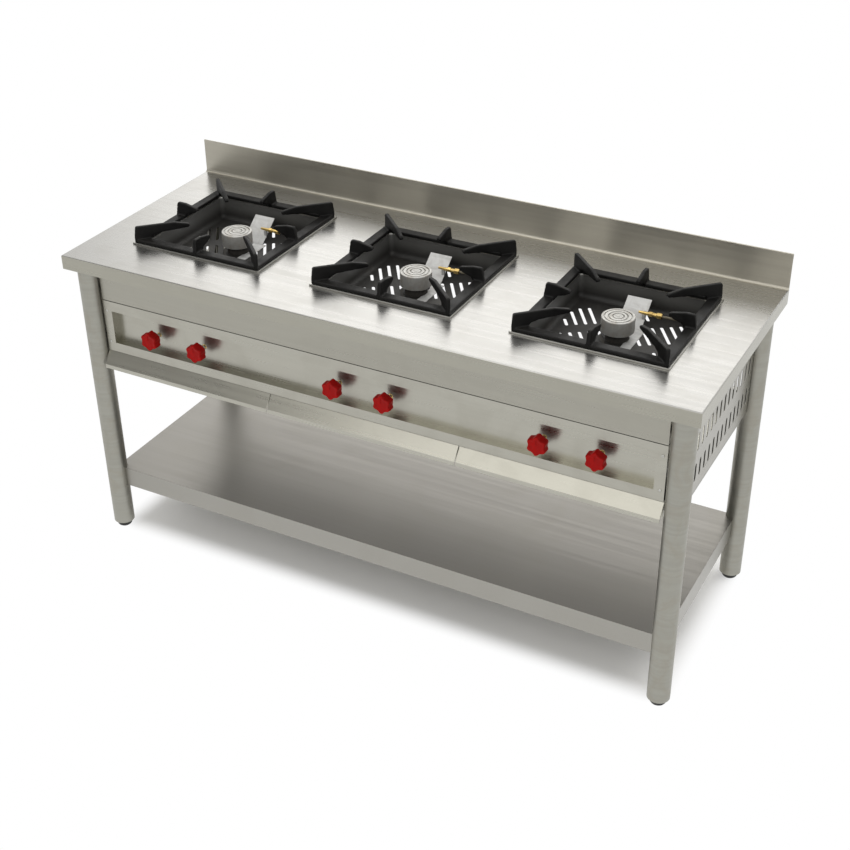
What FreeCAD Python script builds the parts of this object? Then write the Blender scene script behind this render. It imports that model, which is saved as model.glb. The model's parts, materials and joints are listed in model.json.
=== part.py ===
"""A three-burner commercial wok range on four tubular legs.

Millimetres. +X runs to the right along the range, +Y to its back, +Z up.
The origin is on the floor, below the middle of the worktop.
"""
import FreeCAD, Part
import math
import os

V = FreeCAD.Vector
X_AXIS = V(1, 0, 0)
Y_AXIS = V(0, 1, 0)
Z_AXIS = V(0, 0, 1)

# ---------------------------------------------------------------- driving sizes
TOP_LENGTH = 1800.0
TOP_DEPTH = 680.0
TOP_HEIGHT = 900.0
TOP_LIP = 40.0
TOP_BEND = 3.0
SPLASH_HEIGHT = 100.0
SHEET = 2.0
BEARING_GAP = 0.3

LEG_RADIUS = 30.0
LEG_WALL = 2.0
LEG_X = 852.0
LEG_INSET = 45.0
LEG_CLEARANCE = 20.0
SOCKET_WALL = 3.0
SOCKET_HEIGHT = 28.0
SOCKET_PLATE = 4.0

FOOT_RADIUS = 22.5
FOOT_TIP_RADIUS = 15.0
STEM_RADIUS = 5.0
STEM_LENGTH = 38.0
STEM_FIT = 0.05
INSERT_LENGTH = 45.0

SHELF_TOP = 210.0
SHELF_LIP = 60.0
SHELF_HALF_LENGTH = 848.0
STIFFENER_X = (-425.0, 0.0, 425.0)
STIFFENER_WIDTH = 60.0
STIFFENER_HEIGHT = 36.0

FRONT_HALF_LENGTH = 817.0
RETURN_DEPTH = 24.0
PANEL_BOTTOM = 609.5
PANEL_TOP = 764.5
FASCIA_GAP = 1.5
RECESS_HALF_LENGTH = 790.0
RECESS_BOTTOM = 637.0
RECESS_TOP = 735.0
RECESS_DEPTH = 22.0
SCREW_X = 806.0
SCREW_HEAD_RADIUS = 4.0
SCREW_HEAD_HEIGHT = 2.0
SCREW_SHANK_RADIUS = 2.0
SCREW_SHANK_LENGTH = 12.0

SIDE_X = 850.0
SIDE_BOTTOM = 571.0
SIDE_HALF_DEPTH = 261.0
SIDE_RETURN = 15.0
LOUVRE_ROWS = (627.0, 715.0, 803.0)
LOUVRES_PER_ROW = 15
LOUVRE_PITCH = 33.5
LOUVRE_WIDTH = 12.0
LOUVRE_HEIGHT = 50.0

REAR_HALF_LENGTH = 822.0
REAR_TOP_RAIL_BOTTOM = 790.0
REAR_TOP_RAIL_TOP = 860.0
REAR_LOW_RAIL_BOTTOM = 556.0
REAR_LOW_RAIL_TOP = 612.0

BURNERS = 3
BURNER_PITCH = 1700.0 / BURNERS
BURNER_Y = 8.0

BOWL_INSIDE = 350.0
BOWL_FLOOR_TOP = 838.0
BOWL_CORNER = 14.0
BOWL_SEAT_LENGTH = 408.0
BOWL_SEAT_DEPTH = 404.0
BOWL_SEAT_RISE = 4.6
CUTOUT_SIDE = 360.0
SLOT_ANGLE = -57.0
SLOT_WIDTH = 8.0
SLOT_PITCH = 24.5
SLOT_LENGTH = 90.0
SLOT_SHORTEST = 30.0
SLOT_BRIDGE = 36.0
SLOT_NEAR_LEFT = 38.0
SLOT_NEAR_RIGHT = 49.0
SLOT_FIELD_HALF = 158.0

GRATE_LENGTH = 400.0
GRATE_DEPTH = 396.0
GRATE_RAIL_WIDTH = 28.0
GRATE_RAIL_HEIGHT = 9.0
GRATE_RAIL_CHAMFER = 2.0
RIB_THICKNESS = 12.0
RIB_TOP = 950.0
RIB_LEVEL_RADIUS = 170.0
RIB_FALL = 0.2
RIB_TIP_RADIUS = 128.0
RIB_TIP_BOTTOM = 931.0
RIB_ROOT_BOTTOM = 926.0
RIB_ROOT_RUN = 30.0
RIB_LEAN = 5.0
RIB_SHOULDER = 3.0

HEAD_RADIUS = 42.5
HEAD_BOTTOM = 861.0
HEAD_GROOVES = ((33.0, 36.0), (22.5, 25.5), (12.5, 15.5))
HEAD_GROOVE_DEPTH = 2.5
HEAD_BOSS_RADIUS = 7.0
HEAD_BOSS_RISE = 1.5
HEAD_SPIGOT_RADIUS = 24.0
HEAD_SPIGOT_DEPTH = 11.0
HEAD_BORE_RADIUS = 20.0
BASE_NECK_RADIUS = 30.0
BASE_BORE_RADIUS = 24.3
BASE_FLANGE_RADIUS = 48.0
BASE_FLANGE_THICKNESS = 4.0
BASE_BODY_RADIUS = 24.0
BASE_PASSAGE_RADIUS = 16.0
BASE_BOTTOM = 792.0
TUBE_Z = 812.0
TUBE_INLET_DEPTH = 48.0
TUBE_LENGTH = 150.0
TUBE_MOUTH_RADIUS = 23.0
TUBE_THROAT_RADIUS = 13.0
TUBE_END_RADIUS = 18.0
TUBE_WALL = 2.5

KNOB_PAIR_X = (-575.0, 0.0, 575.0)
KNOB_SPREAD = 75.0
KNOB_Z = (RECESS_BOTTOM + RECESS_TOP) / 2.0
KNOB_LOBES = 6
KNOB_RADIUS = 27.0
KNOB_WAIST = 22.0
KNOB_SKIRT_RADIUS = 20.5
KNOB_SKIRT_DEPTH = 5.0
KNOB_DEPTH = 28.0
KNOB_STANDOFF = 1.0
KNOB_CAP = 8.0
KNOB_EDGE = 2.0
POINTER_WIDTH = 2.4
POINTER_LENGTH = 17.0
POINTER_DEPTH = 0.8
SPINDLE_RADIUS = 4.0
SPINDLE_FLAT = 3.0
SPINDLE_FIT = 0.05
SPINDLE_END_GAP = 2.0
SPINDLE_FLAT_LENGTH = 16.0
SPINDLE_HOLE_RADIUS = 7.0

MANIFOLD_RADIUS = 13.45
MANIFOLD_WALL = 2.6
MANIFOLD_SETBACK = 118.0
MANIFOLD_LEFT = -700.0
INLET_X = 780.0
INLET_BEND = 40.0
INLET_PIPE_END = 292.0
INLET_THREAD_END = 325.0
INLET_NUT_RADIUS = 19.0
INLET_NUT_LENGTH = 14.0
INLET_NIPPLE_RADIUS = 13.1
CLAMP_X = (-283.0, 0.0, 283.0)
CLAMP_WIDTH = 16.0
CLAMP_WALL = 3.0
VALVE_RADIUS = 13.0
VALVE_OUTLET_RADIUS = 8.0
VALVE_OUTLET_TOP = 708.0
VALVE_BORE_DEPTH = 24.0
VALVE_OUTLET_Y = -252.0
SUPPLY_RADIUS = 5.0
SUPPLY_BEND = 20.0
INJECTOR_RADIUS = 7.0
INJECTOR_LENGTH = 14.0
INJECTOR_GAP = 4.0
PILOT_RADIUS = 3.0
PILOT_BEND = 15.0
PILOT_Z = 877.0
PILOT_RUN_X = 215.0
PILOT_Y = 95.0
PILOT_JET_END = 22.0
PILOT_JET_START = 84.0
PILOT_JET_RADIUS = 5.0
PILOT_NUT_RADIUS = 8.0
PILOT_NUT_LENGTH = 14.0

BRACKET_LEFT = -24.0
BRACKET_RIGHT = 40.0
BRACKET_BACK = 138.0
BRACKET_TOP = 892.0
BRACKET_HEEL = 69.0
STRAP_LEFT = 25.0
STRAP_RIGHT = 51.0
STRAP_FRONT = -35.0
CLIP_WIDTH = 8.0
CLIP_DEPTH = 6.0

TRAY_HALF_RUN = 820.0
TRAY_SEAM_X = 280.0
TRAY_GAP = 2.7
TRAY_SHEET = 1.5
TRAY_FLOOR = 562.0
TRAY_WALL_TOP = 600.0
TRAY_TOP = 607.5
TRAY_SETBACK = 47.0
TRAY_BACK = 260.0
TRAY_LIP_SETBACK = 23.0
TRAY_LIP_Z = 573.0
TRAY_LIP_BOTTOM = 561.0
RUNNER_LEDGE = 20.0
RUNNER_SHEET = 2.0
RUNNER_WEB = 1.5
RUNNER_LEG_TOP = 640.0
OUTER_RUNNER_FRONT = -255.0
INNER_RUNNER_FRONT = -285.0

# ---------------------------------------------------------------- worked-out places
FRONT_Y = -TOP_DEPTH / 2.0
BACK_Y = TOP_DEPTH / 2.0
TOP_UNDERSIDE = TOP_HEIGHT - SHEET
LEG_Y = BACK_Y - LEG_INSET
LEG_PLACES = {
    "front_left": (-LEG_X, -LEG_Y),
    "front_right": (LEG_X, -LEG_Y),
    "rear_left": (-LEG_X, LEG_Y),
    "rear_right": (LEG_X, LEG_Y),
}
PANEL_Y = FRONT_Y + LEG_INSET
RECESS_BACK_Y = PANEL_Y + RECESS_DEPTH
PANEL_REAR_Y = RECESS_BACK_Y + SHEET
REAR_RAIL_Y = LEG_Y - SHEET / 2.0
MANIFOLD_Y = FRONT_Y + MANIFOLD_SETBACK
BURNER_X = [(i - (BURNERS - 1) / 2.0) * BURNER_PITCH for i in range(BURNERS)]
SEAT_TOP = TOP_HEIGHT + BOWL_SEAT_RISE
GRATE_BOTTOM = SEAT_TOP + BEARING_GAP
BOWL_FLOOR_BOTTOM = BOWL_FLOOR_TOP - SHEET
KNOB_BACK_Y = PANEL_Y - KNOB_STANDOFF
KNOB_FRONT_Y = KNOB_BACK_Y - KNOB_DEPTH
SPINDLE_FRONT_Y = KNOB_FRONT_Y + KNOB_CAP + SPINDLE_END_GAP
SPINDLE_BACK_Y = PANEL_REAR_Y + VALVE_BORE_DEPTH - 1.0


# ---------------------------------------------------------------- shape helpers
def box(x0, x1, y0, y1, z0, z1):
    """A block between two corners."""
    return Part.makeBox(x1 - x0, y1 - y0, z1 - z0, V(x0, y0, z0))


def rod(radius, start, end):
    """A round bar from one point to another."""
    run = end.sub(start)
    return Part.makeCylinder(radius, run.Length, start, run)


def ring(outer, inner, start, end):
    """A round tube from one point to another."""
    return rod(outer, start, end).cut(rod(inner, start, end))


def joined(shapes):
    """One solid from pieces that touch or overlap."""
    shape = shapes[0]
    if len(shapes) > 1:
        shape = shape.multiFuse(shapes[1:])
    return shape.removeSplitter()


def polygon(points):
    """A flat face with straight sides."""
    return Part.Face(Part.makePolygon(points + points[:1]))


def slab_along_x(outline, x0, x1):
    """A (y, z) outline drawn out from x0 to x1."""
    face = polygon([V(x0, y, z) for y, z in outline])
    return face.extrude(V(x1 - x0, 0, 0))


def turned(profile, origin, axis):
    """A (radius, height) profile turned about an axis through origin."""
    points = [V(radius, 0, height) for radius, height in profile]
    solid = polygon(points).revolve(V(0, 0, 0), Z_AXIS, 360)
    solid.Placement = FreeCAD.Placement(origin, FreeCAD.Rotation(Z_AXIS, axis))
    return solid


def obround(width, length, x, y, z0, z1, angle):
    """A cutter with round ends, drawn up from z0 to z1 and turned by angle."""
    half = (length - width) / 2.0
    middle = box(-half, half, -width / 2.0, width / 2.0, z0, z1)
    ends = [rod(width / 2.0, V(side * half, 0, z0), V(side * half, 0, z1)) for side in (-1, 1)]
    cutter = joined([middle] + ends)
    cutter.rotate(V(0, 0, 0), Z_AXIS, angle)
    cutter.translate(V(x, y, 0))
    return cutter


def upright_slot(width, height, x0, x1, y, z):
    """A cutter with round ends that stands up and passes through from x0 to x1."""
    half = (height - width) / 2.0
    middle = box(x0, x1, y - width / 2.0, y + width / 2.0, z - half, z + half)
    ends = [rod(width / 2.0, V(x0, y, z + side * half), V(x1, y, z + side * half)) for side in (-1, 1)]
    return joined([middle] + ends)


def bent_path(points, radius):
    """Straight runs joined by tangent arcs of one radius."""
    edges = []
    start = points[0]
    for before, corner, after in zip(points, points[1:], points[2:]):
        incoming = corner.sub(before).normalize()
        outgoing = after.sub(corner).normalize()
        turn = incoming.getAngle(outgoing)
        setback = radius * math.tan(turn / 2.0)
        arc_start = corner.sub(V(incoming) * setback)
        arc_end = corner.add(V(outgoing) * setback)
        inward = outgoing.sub(incoming).normalize()
        centre = corner.add(V(inward) * (radius / math.cos(turn / 2.0)))
        middle = centre.sub(V(inward) * radius)
        edges.append(Part.LineSegment(start, arc_start).toShape())
        edges.append(Part.Arc(arc_start, middle, arc_end).toShape())
        start = arc_end
    edges.append(Part.LineSegment(start, points[-1]).toShape())
    return Part.Wire(edges)


def bent_bar(points, radius, bend):
    """A round bar that follows straight runs and tangent arcs."""
    path = bent_path(points, bend)
    run = points[1].sub(points[0])
    section = Part.Wire([Part.makeCircle(radius, points[0], run)])
    return path.makePipeShell([section], True, False)


def folded_box(x0, x1, y0, y1, z0, z1, sheet, open_top):
    """A thin-walled box that is open at its top or at its bottom."""
    outer = box(x0, x1, y0, y1, z0, z1)
    low = z0 + sheet if open_top else z0
    high = z1 if open_top else z1 - sheet
    return outer.cut(box(x0 + sheet, x1 - sheet, y0 + sheet, y1 - sheet, low, high))


# ---------------------------------------------------------------- top
def worktop():
    """The folded top, with its turned-down edges and a cut-out for each bowl."""
    outer = box(-TOP_LENGTH / 2, TOP_LENGTH / 2, FRONT_Y, BACK_Y, TOP_HEIGHT - TOP_LIP, TOP_HEIGHT)
    inner = box(
        -TOP_LENGTH / 2 + SHEET, TOP_LENGTH / 2 - SHEET,
        FRONT_Y + SHEET, BACK_Y - SHEET,
        TOP_HEIGHT - TOP_LIP, TOP_UNDERSIDE,
    )
    bends = []
    for edge in outer.Edges:
        middle = edge.CenterOfMass
        on_top = abs(middle.z - TOP_HEIGHT) < 1.0
        at_back = abs(middle.y - BACK_Y) < 1.0
        if on_top and not at_back:
            bends.append(edge)
    top = outer.makeFillet(TOP_BEND, bends).cut(inner)
    for x in BURNER_X:
        half = CUTOUT_SIDE / 2.0
        hole = box(x - half, x + half, BURNER_Y - half, BURNER_Y + half, TOP_UNDERSIDE - 1, TOP_HEIGHT + 1)
        top = top.cut(hole)
    return top


def splashback():
    """The upstand along the back, with a coved foot and a hemmed upper edge."""
    face_y = BACK_Y - 2 * SHEET
    cove = 8.0
    hem = 15.0
    nose = 1.0
    top_z = TOP_HEIGHT + SPLASH_HEIGHT
    start = V(0, face_y - cove, TOP_HEIGHT)
    swing = cove * math.cos(math.radians(45))
    middle = V(0, face_y - cove + swing, TOP_HEIGHT + cove - swing)
    end = V(0, face_y, TOP_HEIGHT + cove)
    corners = [
        end,
        V(0, face_y, top_z - nose),
        V(0, face_y + nose, top_z),
        V(0, BACK_Y - nose, top_z),
        V(0, BACK_Y, top_z - nose),
        V(0, BACK_Y, top_z - hem),
        V(0, face_y + SHEET, top_z - hem),
        V(0, face_y + SHEET, TOP_HEIGHT),
        start,
    ]
    edges = [Part.Arc(start, middle, end).toShape()]
    edges += [Part.LineSegment(a, b).toShape() for a, b in zip(corners, corners[1:])]
    plate = Part.Face(Part.Wire(edges)).extrude(V(TOP_LENGTH, 0, 0))
    plate.translate(V(-TOP_LENGTH / 2.0, 0, 0))
    return plate


# ---------------------------------------------------------------- stand
def leg(x, y):
    """One round tube, from its foot up into its socket."""
    top = TOP_UNDERSIDE - SOCKET_PLATE
    return ring(LEG_RADIUS, LEG_RADIUS - LEG_WALL, V(x, y, LEG_CLEARANCE), V(x, y, top))


def leg_sockets():
    """The plate and collar under each corner of the top that hold a leg."""
    sockets = []
    reach = LEG_RADIUS + SOCKET_WALL
    plate_z = TOP_UNDERSIDE - SOCKET_PLATE
    for x, y in LEG_PLACES.values():
        plate = box(x - reach, x + reach, y - reach, y + reach, plate_z, TOP_UNDERSIDE)
        collar = ring(reach, LEG_RADIUS, V(x, y, plate_z - SOCKET_HEIGHT), V(x, y, plate_z))
        sockets.append(joined([plate, collar]))
    return Part.Compound(sockets)


def leg_inserts():
    """The threaded plug pressed into the lower end of each leg."""
    inserts = []
    for x, y in LEG_PLACES.values():
        low = V(x, y, LEG_CLEARANCE)
        high = V(x, y, LEG_CLEARANCE + INSERT_LENGTH)
        inserts.append(ring(LEG_RADIUS - LEG_WALL, STEM_RADIUS + STEM_FIT, low, high))
    return Part.Compound(inserts)


def foot(x, y):
    """An adjustable bullet foot and its threaded stem."""
    top = LEG_CLEARANCE - BEARING_GAP
    profile = [
        (0, 0),
        (FOOT_TIP_RADIUS, 0),
        (FOOT_TIP_RADIUS + 4, 2.5),
        (FOOT_RADIUS - 1.0, 7.0),
        (FOOT_RADIUS, 11.0),
        (FOOT_RADIUS, top - 1.0),
        (FOOT_RADIUS - 1.0, top),
        (STEM_RADIUS, top),
        (STEM_RADIUS, top + STEM_LENGTH),
        (0, top + STEM_LENGTH),
    ]
    return turned(profile, V(x, y, 0), Z_AXIS)


def undershelf():
    """The lower shelf, with turned-down edges and corners cut round the legs."""
    shelf = folded_box(
        -SHELF_HALF_LENGTH, SHELF_HALF_LENGTH, -LEG_Y, LEG_Y,
        SHELF_TOP - SHELF_LIP, SHELF_TOP, SHEET, open_top=False,
    )
    for x, y in LEG_PLACES.values():
        shelf = shelf.cut(rod(LEG_RADIUS, V(x, y, 0), V(x, y, TOP_HEIGHT)))
    return shelf


def shelf_stiffeners():
    """Open channels welded across the underside of the shelf."""
    channels = []
    top = SHELF_TOP - SHEET
    half = STIFFENER_WIDTH / 2.0
    reach = LEG_Y - SHEET
    for x in STIFFENER_X:
        outer = box(x - half, x + half, -reach, reach, top - STIFFENER_HEIGHT, top)
        inner = box(x - half + SHEET, x + half - SHEET, -reach, reach, top - STIFFENER_HEIGHT + SHEET, top)
        channels.append(outer.cut(inner))
    return Part.Compound(channels)


# ---------------------------------------------------------------- covers
def end_lugs(z0, z1):
    """The lugs that reach from a front cover to the front legs."""
    lugs = []
    y = PANEL_Y + RETURN_DEPTH - SHEET
    gap = math.sqrt(LEG_RADIUS ** 2 - (y - PANEL_Y) ** 2)
    reach = LEG_X - gap
    for side in (-1, 1):
        x0, x1 = sorted((side * (FRONT_HALF_LENGTH - SHEET), side * reach))
        lugs.append(box(x0, x1, y, y + SHEET, z0, z1))
    return lugs


def front_fascia():
    """The plain cover between the top and the control panel."""
    bottom = PANEL_TOP + FASCIA_GAP
    shell = folded_box(
        -FRONT_HALF_LENGTH, FRONT_HALF_LENGTH, bottom, TOP_UNDERSIDE,
        -PANEL_Y - RETURN_DEPTH, -PANEL_Y, SHEET, open_top=False,
    )
    shell.rotate(V(0, 0, 0), X_AXIS, 90)
    return joined([shell] + end_lugs(bottom + 20, bottom + 40))


def control_panel():
    """The removable front panel, with a long recess for the knobs."""
    shell = folded_box(
        -FRONT_HALF_LENGTH, FRONT_HALF_LENGTH, PANEL_BOTTOM, PANEL_TOP,
        -PANEL_Y - RETURN_DEPTH, -PANEL_Y, SHEET, open_top=False,
    )
    shell.rotate(V(0, 0, 0), X_AXIS, 90)
    recess_outer = box(
        -RECESS_HALF_LENGTH - SHEET, RECESS_HALF_LENGTH + SHEET,
        PANEL_Y, PANEL_REAR_Y, RECESS_BOTTOM - SHEET, RECESS_TOP + SHEET,
    )
    recess = box(
        -RECESS_HALF_LENGTH, RECESS_HALF_LENGTH,
        PANEL_Y - 1, RECESS_BACK_Y, RECESS_BOTTOM, RECESS_TOP,
    )
    panel = joined([shell, recess_outer] + end_lugs(PANEL_BOTTOM + 30, PANEL_BOTTOM + 50)).cut(recess)
    for x in knob_places():
        hole = rod(SPINDLE_HOLE_RADIUS, V(x, RECESS_BACK_Y - 1, KNOB_Z), V(x, PANEL_REAR_Y + 1, KNOB_Z))
        panel = panel.cut(hole)
    for x, z in screw_places():
        hole = rod(SCREW_SHANK_RADIUS, V(x, PANEL_Y - 1, z), V(x, PANEL_Y + SHEET + 1, z))
        panel = panel.cut(hole)
    return panel


def screw_places():
    """Where the control panel's screws are, as (x, z)."""
    return [(side * SCREW_X, z) for side in (-1, 1) for z in (RECESS_BOTTOM + 2, RECESS_TOP)]


def panel_screws():
    """The pan-head screws that hold the control panel."""
    screws = []
    for x, z in screw_places():
        profile = [
            (0, 0),
            (SCREW_SHANK_RADIUS, 0),
            (SCREW_SHANK_RADIUS, SCREW_SHANK_LENGTH),
            (SCREW_HEAD_RADIUS, SCREW_SHANK_LENGTH),
            (SCREW_HEAD_RADIUS - 0.5, SCREW_SHANK_LENGTH + SCREW_HEAD_HEIGHT),
            (0, SCREW_SHANK_LENGTH + SCREW_HEAD_HEIGHT),
        ]
        screws.append(turned(profile, V(x, PANEL_Y + SCREW_SHANK_LENGTH, z), V(0, -1, 0)))
    return Part.Compound(screws)


def side_panel(side):
    """A vented side cover between a front leg and a rear leg."""
    x_out = side * SIDE_X
    x_in = side * (SIDE_X - SIDE_RETURN)
    skin = side * (SIDE_X - SHEET)
    outer = box(
        min(x_out, x_in), max(x_out, x_in), -SIDE_HALF_DEPTH, SIDE_HALF_DEPTH,
        SIDE_BOTTOM, TOP_UNDERSIDE,
    )
    inner = box(
        min(skin, x_in), max(skin, x_in), -SIDE_HALF_DEPTH + SHEET, SIDE_HALF_DEPTH - SHEET,
        SIDE_BOTTOM + SHEET, TOP_UNDERSIDE - SHEET,
    )
    panel = outer.cut(inner)
    cutters = []
    for z in LOUVRE_ROWS:
        for i in range(LOUVRES_PER_ROW):
            y = (i - (LOUVRES_PER_ROW - 1) / 2.0) * LOUVRE_PITCH
            x0, x1 = sorted((skin - side, x_out + side))
            cutters.append(upright_slot(LOUVRE_WIDTH, LOUVRE_HEIGHT, x0, x1, y, z))
    return panel.cut(Part.Compound(cutters))


def rear_rail(z0, z1):
    """A channel that ties the two rear legs together."""
    web = box(-REAR_HALF_LENGTH, REAR_HALF_LENGTH, REAR_RAIL_Y, REAR_RAIL_Y + SHEET, z0, z1)
    depth = SIDE_RETURN
    low = box(-REAR_HALF_LENGTH, REAR_HALF_LENGTH, REAR_RAIL_Y - depth, REAR_RAIL_Y, z0, z0 + SHEET)
    high = box(-REAR_HALF_LENGTH, REAR_HALF_LENGTH, REAR_RAIL_Y - depth, REAR_RAIL_Y, z1 - SHEET, z1)
    return joined([web, low, high])


# ---------------------------------------------------------------- drip trays
def tray_seams():
    """The x places where the drip trays end."""
    return [-TRAY_HALF_RUN, -TRAY_SEAM_X, TRAY_SEAM_X, TRAY_HALF_RUN]


def drip_tray(index):
    """A shallow tray whose front edge folds out into a sloping finger lip."""
    seams = tray_seams()
    x0 = seams[index] + TRAY_GAP / 2.0
    x1 = seams[index + 1] - TRAY_GAP / 2.0
    front = FRONT_Y + TRAY_SETBACK
    lip = FRONT_Y + TRAY_LIP_SETBACK
    sheet = TRAY_SHEET
    slope = math.atan2(TRAY_TOP - TRAY_LIP_Z, front - lip)
    drop = sheet / math.cos(slope)
    pan = folded_box(x0, x1, front, TRAY_BACK, TRAY_FLOOR, TRAY_WALL_TOP, sheet, open_top=True)
    outline = [
        (front + sheet, TRAY_WALL_TOP - sheet),
        (front + sheet, TRAY_TOP),
        (front, TRAY_TOP),
        (lip, TRAY_LIP_Z),
        (lip, TRAY_LIP_BOTTOM),
        (lip + sheet, TRAY_LIP_BOTTOM),
        (lip + sheet, TRAY_LIP_Z - drop + sheet * math.tan(slope)),
        (front, TRAY_TOP - drop),
        (front, TRAY_WALL_TOP - sheet),
    ]
    return joined([pan, slab_along_x(outline, x0, x1)])


def tray_runners():
    """The ledges that the drip trays slide on."""
    runners = []
    top = TRAY_FLOOR - BEARING_GAP
    low = top - RUNNER_SHEET
    rear = REAR_RAIL_Y
    for side in (-1, 1):
        wall = side * (SIDE_X - SHEET)
        x0, x1 = sorted((wall, side * (TRAY_HALF_RUN - RUNNER_LEDGE)))
        ledge = box(x0, x1, OUTER_RUNNER_FRONT, SIDE_HALF_DEPTH, low, top)
        x0, x1 = sorted((side * (TRAY_HALF_RUN - SHEET), side * (TRAY_HALF_RUN - RUNNER_LEDGE)))
        tail = box(x0, x1, SIDE_HALF_DEPTH, rear, low, top)
        x0, x1 = sorted((wall, wall - side * RUNNER_SHEET))
        upright = box(x0, x1, OUTER_RUNNER_FRONT, SIDE_HALF_DEPTH, low, SIDE_BOTTOM)
        inner = wall - side * SIDE_RETURN
        x0, x1 = sorted((inner - side * RUNNER_SHEET, inner + side * SHEET))
        tall = box(x0, x1, OUTER_RUNNER_FRONT, SIDE_HALF_DEPTH, low, RUNNER_LEG_TOP)
        runners += [joined([ledge, tail]), upright.cut(ledge), tall.cut(ledge)]
    for x in tray_seams()[1:-1]:
        ledge = box(x - RUNNER_LEDGE, x + RUNNER_LEDGE, INNER_RUNNER_FRONT, rear, low, top)
        web = box(x - RUNNER_WEB / 2, x + RUNNER_WEB / 2, INNER_RUNNER_FRONT, rear, top, PANEL_BOTTOM)
        runners += [ledge, web]
    return Part.Compound(runners)


# ---------------------------------------------------------------- burners
def slot_places():
    """Where the floor slots of a bowl are, as (x, y, length) about its middle."""
    run = (math.cos(math.radians(SLOT_ANGLE)), math.sin(math.radians(SLOT_ANGLE)))
    across = (-run[1], run[0])
    rows = []
    for near, side in ((SLOT_NEAR_LEFT, -1), (SLOT_NEAR_RIGHT, 1)):
        count = int((SLOT_FIELD_HALF * 1.2 - near) // SLOT_PITCH) + 1
        rows += [side * (near + i * SLOT_PITCH) for i in range(count)]
    places = []
    for row in rows:
        for i in (-1, 0, 1):
            middle = i * (SLOT_LENGTH + SLOT_BRIDGE)
            start = middle - SLOT_LENGTH / 2.0
            end = middle + SLOT_LENGTH / 2.0
            for along, off in zip(run, across):
                first, last = sorted((side * SLOT_FIELD_HALF - off * row) / along for side in (-1, 1))
                start = max(start, first)
                end = min(end, last)
            if end - start >= SLOT_SHORTEST:
                middle = (start + end) / 2.0
                x = across[0] * row + run[0] * middle
                y = across[1] * row + run[1] * middle
                places.append((x, y, end - start))
    return places


def rounded_well(x, half, z0, z1, radius):
    """A square block with rounded upright edges and a rounded bottom."""
    block = box(x - half, x + half, BURNER_Y - half, BURNER_Y + half, z0, z1)
    edges = [edge for edge in block.Edges if edge.CenterOfMass.z < z1 - 1.0]
    return block.makeFillet(radius, edges)


def bowl(x):
    """The square well under a pan support, with a raised seat and a slotted floor."""
    half = BOWL_INSIDE / 2.0
    outer = half + SHEET
    well = rounded_well(x, outer, BOWL_FLOOR_BOTTOM, SEAT_TOP, BOWL_CORNER + SHEET)
    seat = box(
        x - BOWL_SEAT_LENGTH / 2, x + BOWL_SEAT_LENGTH / 2,
        BURNER_Y - BOWL_SEAT_DEPTH / 2, BURNER_Y + BOWL_SEAT_DEPTH / 2,
        TOP_HEIGHT, SEAT_TOP,
    )
    under_seat = box(
        x - BOWL_SEAT_LENGTH / 2 + SHEET, x + BOWL_SEAT_LENGTH / 2 - SHEET,
        BURNER_Y - BOWL_SEAT_DEPTH / 2 + SHEET, BURNER_Y + BOWL_SEAT_DEPTH / 2 - SHEET,
        TOP_HEIGHT, SEAT_TOP - SHEET,
    )
    inside = rounded_well(x, half, BOWL_FLOOR_TOP, SEAT_TOP + 1, BOWL_CORNER)
    shape = joined([seat.cut(under_seat), well]).cut(inside)
    neck = rod(BASE_NECK_RADIUS, V(x, BURNER_Y, BOWL_FLOOR_BOTTOM - 1), V(x, BURNER_Y, BOWL_FLOOR_TOP + 1))
    pilot_hole = rod(PILOT_RADIUS, V(x + half - 1, PILOT_Y, PILOT_Z), V(x + outer + 1, PILOT_Y, PILOT_Z))
    cutters = [neck, pilot_hole]
    for slot_x, slot_y, length in slot_places():
        cutters.append(obround(
            SLOT_WIDTH, length, x + slot_x, BURNER_Y + slot_y,
            BOWL_FLOOR_BOTTOM - 1, BOWL_FLOOR_TOP + 1, SLOT_ANGLE,
        ))
    return shape.cut(Part.Compound(cutters))


def rib(x, angle, outer, rail):
    """One rib of a pan support, a finger that stands on the frame and reaches inwards."""
    fall = (RIB_LEVEL_RADIUS - RIB_TIP_RADIUS) * RIB_FALL
    outline = [
        (RIB_TIP_RADIUS, RIB_TIP_BOTTOM),
        (rail - RIB_ROOT_RUN, RIB_ROOT_BOTTOM),
        (rail, GRATE_BOTTOM),
        (outer, GRATE_BOTTOM),
        (outer, GRATE_BOTTOM + GRATE_RAIL_HEIGHT),
        (outer - RIB_LEAN, RIB_TOP - RIB_SHOULDER),
        (outer - RIB_LEAN - RIB_SHOULDER, RIB_TOP),
        (RIB_LEVEL_RADIUS, RIB_TOP),
        (RIB_TIP_RADIUS, RIB_TOP - fall),
    ]
    half = RIB_THICKNESS / 2.0
    face = polygon([V(radius, -half, z) for radius, z in outline])
    shape = face.extrude(V(0, RIB_THICKNESS, 0))
    shape.rotate(V(0, 0, 0), Z_AXIS, angle)
    shape.translate(V(x, BURNER_Y, 0))
    return shape


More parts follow.
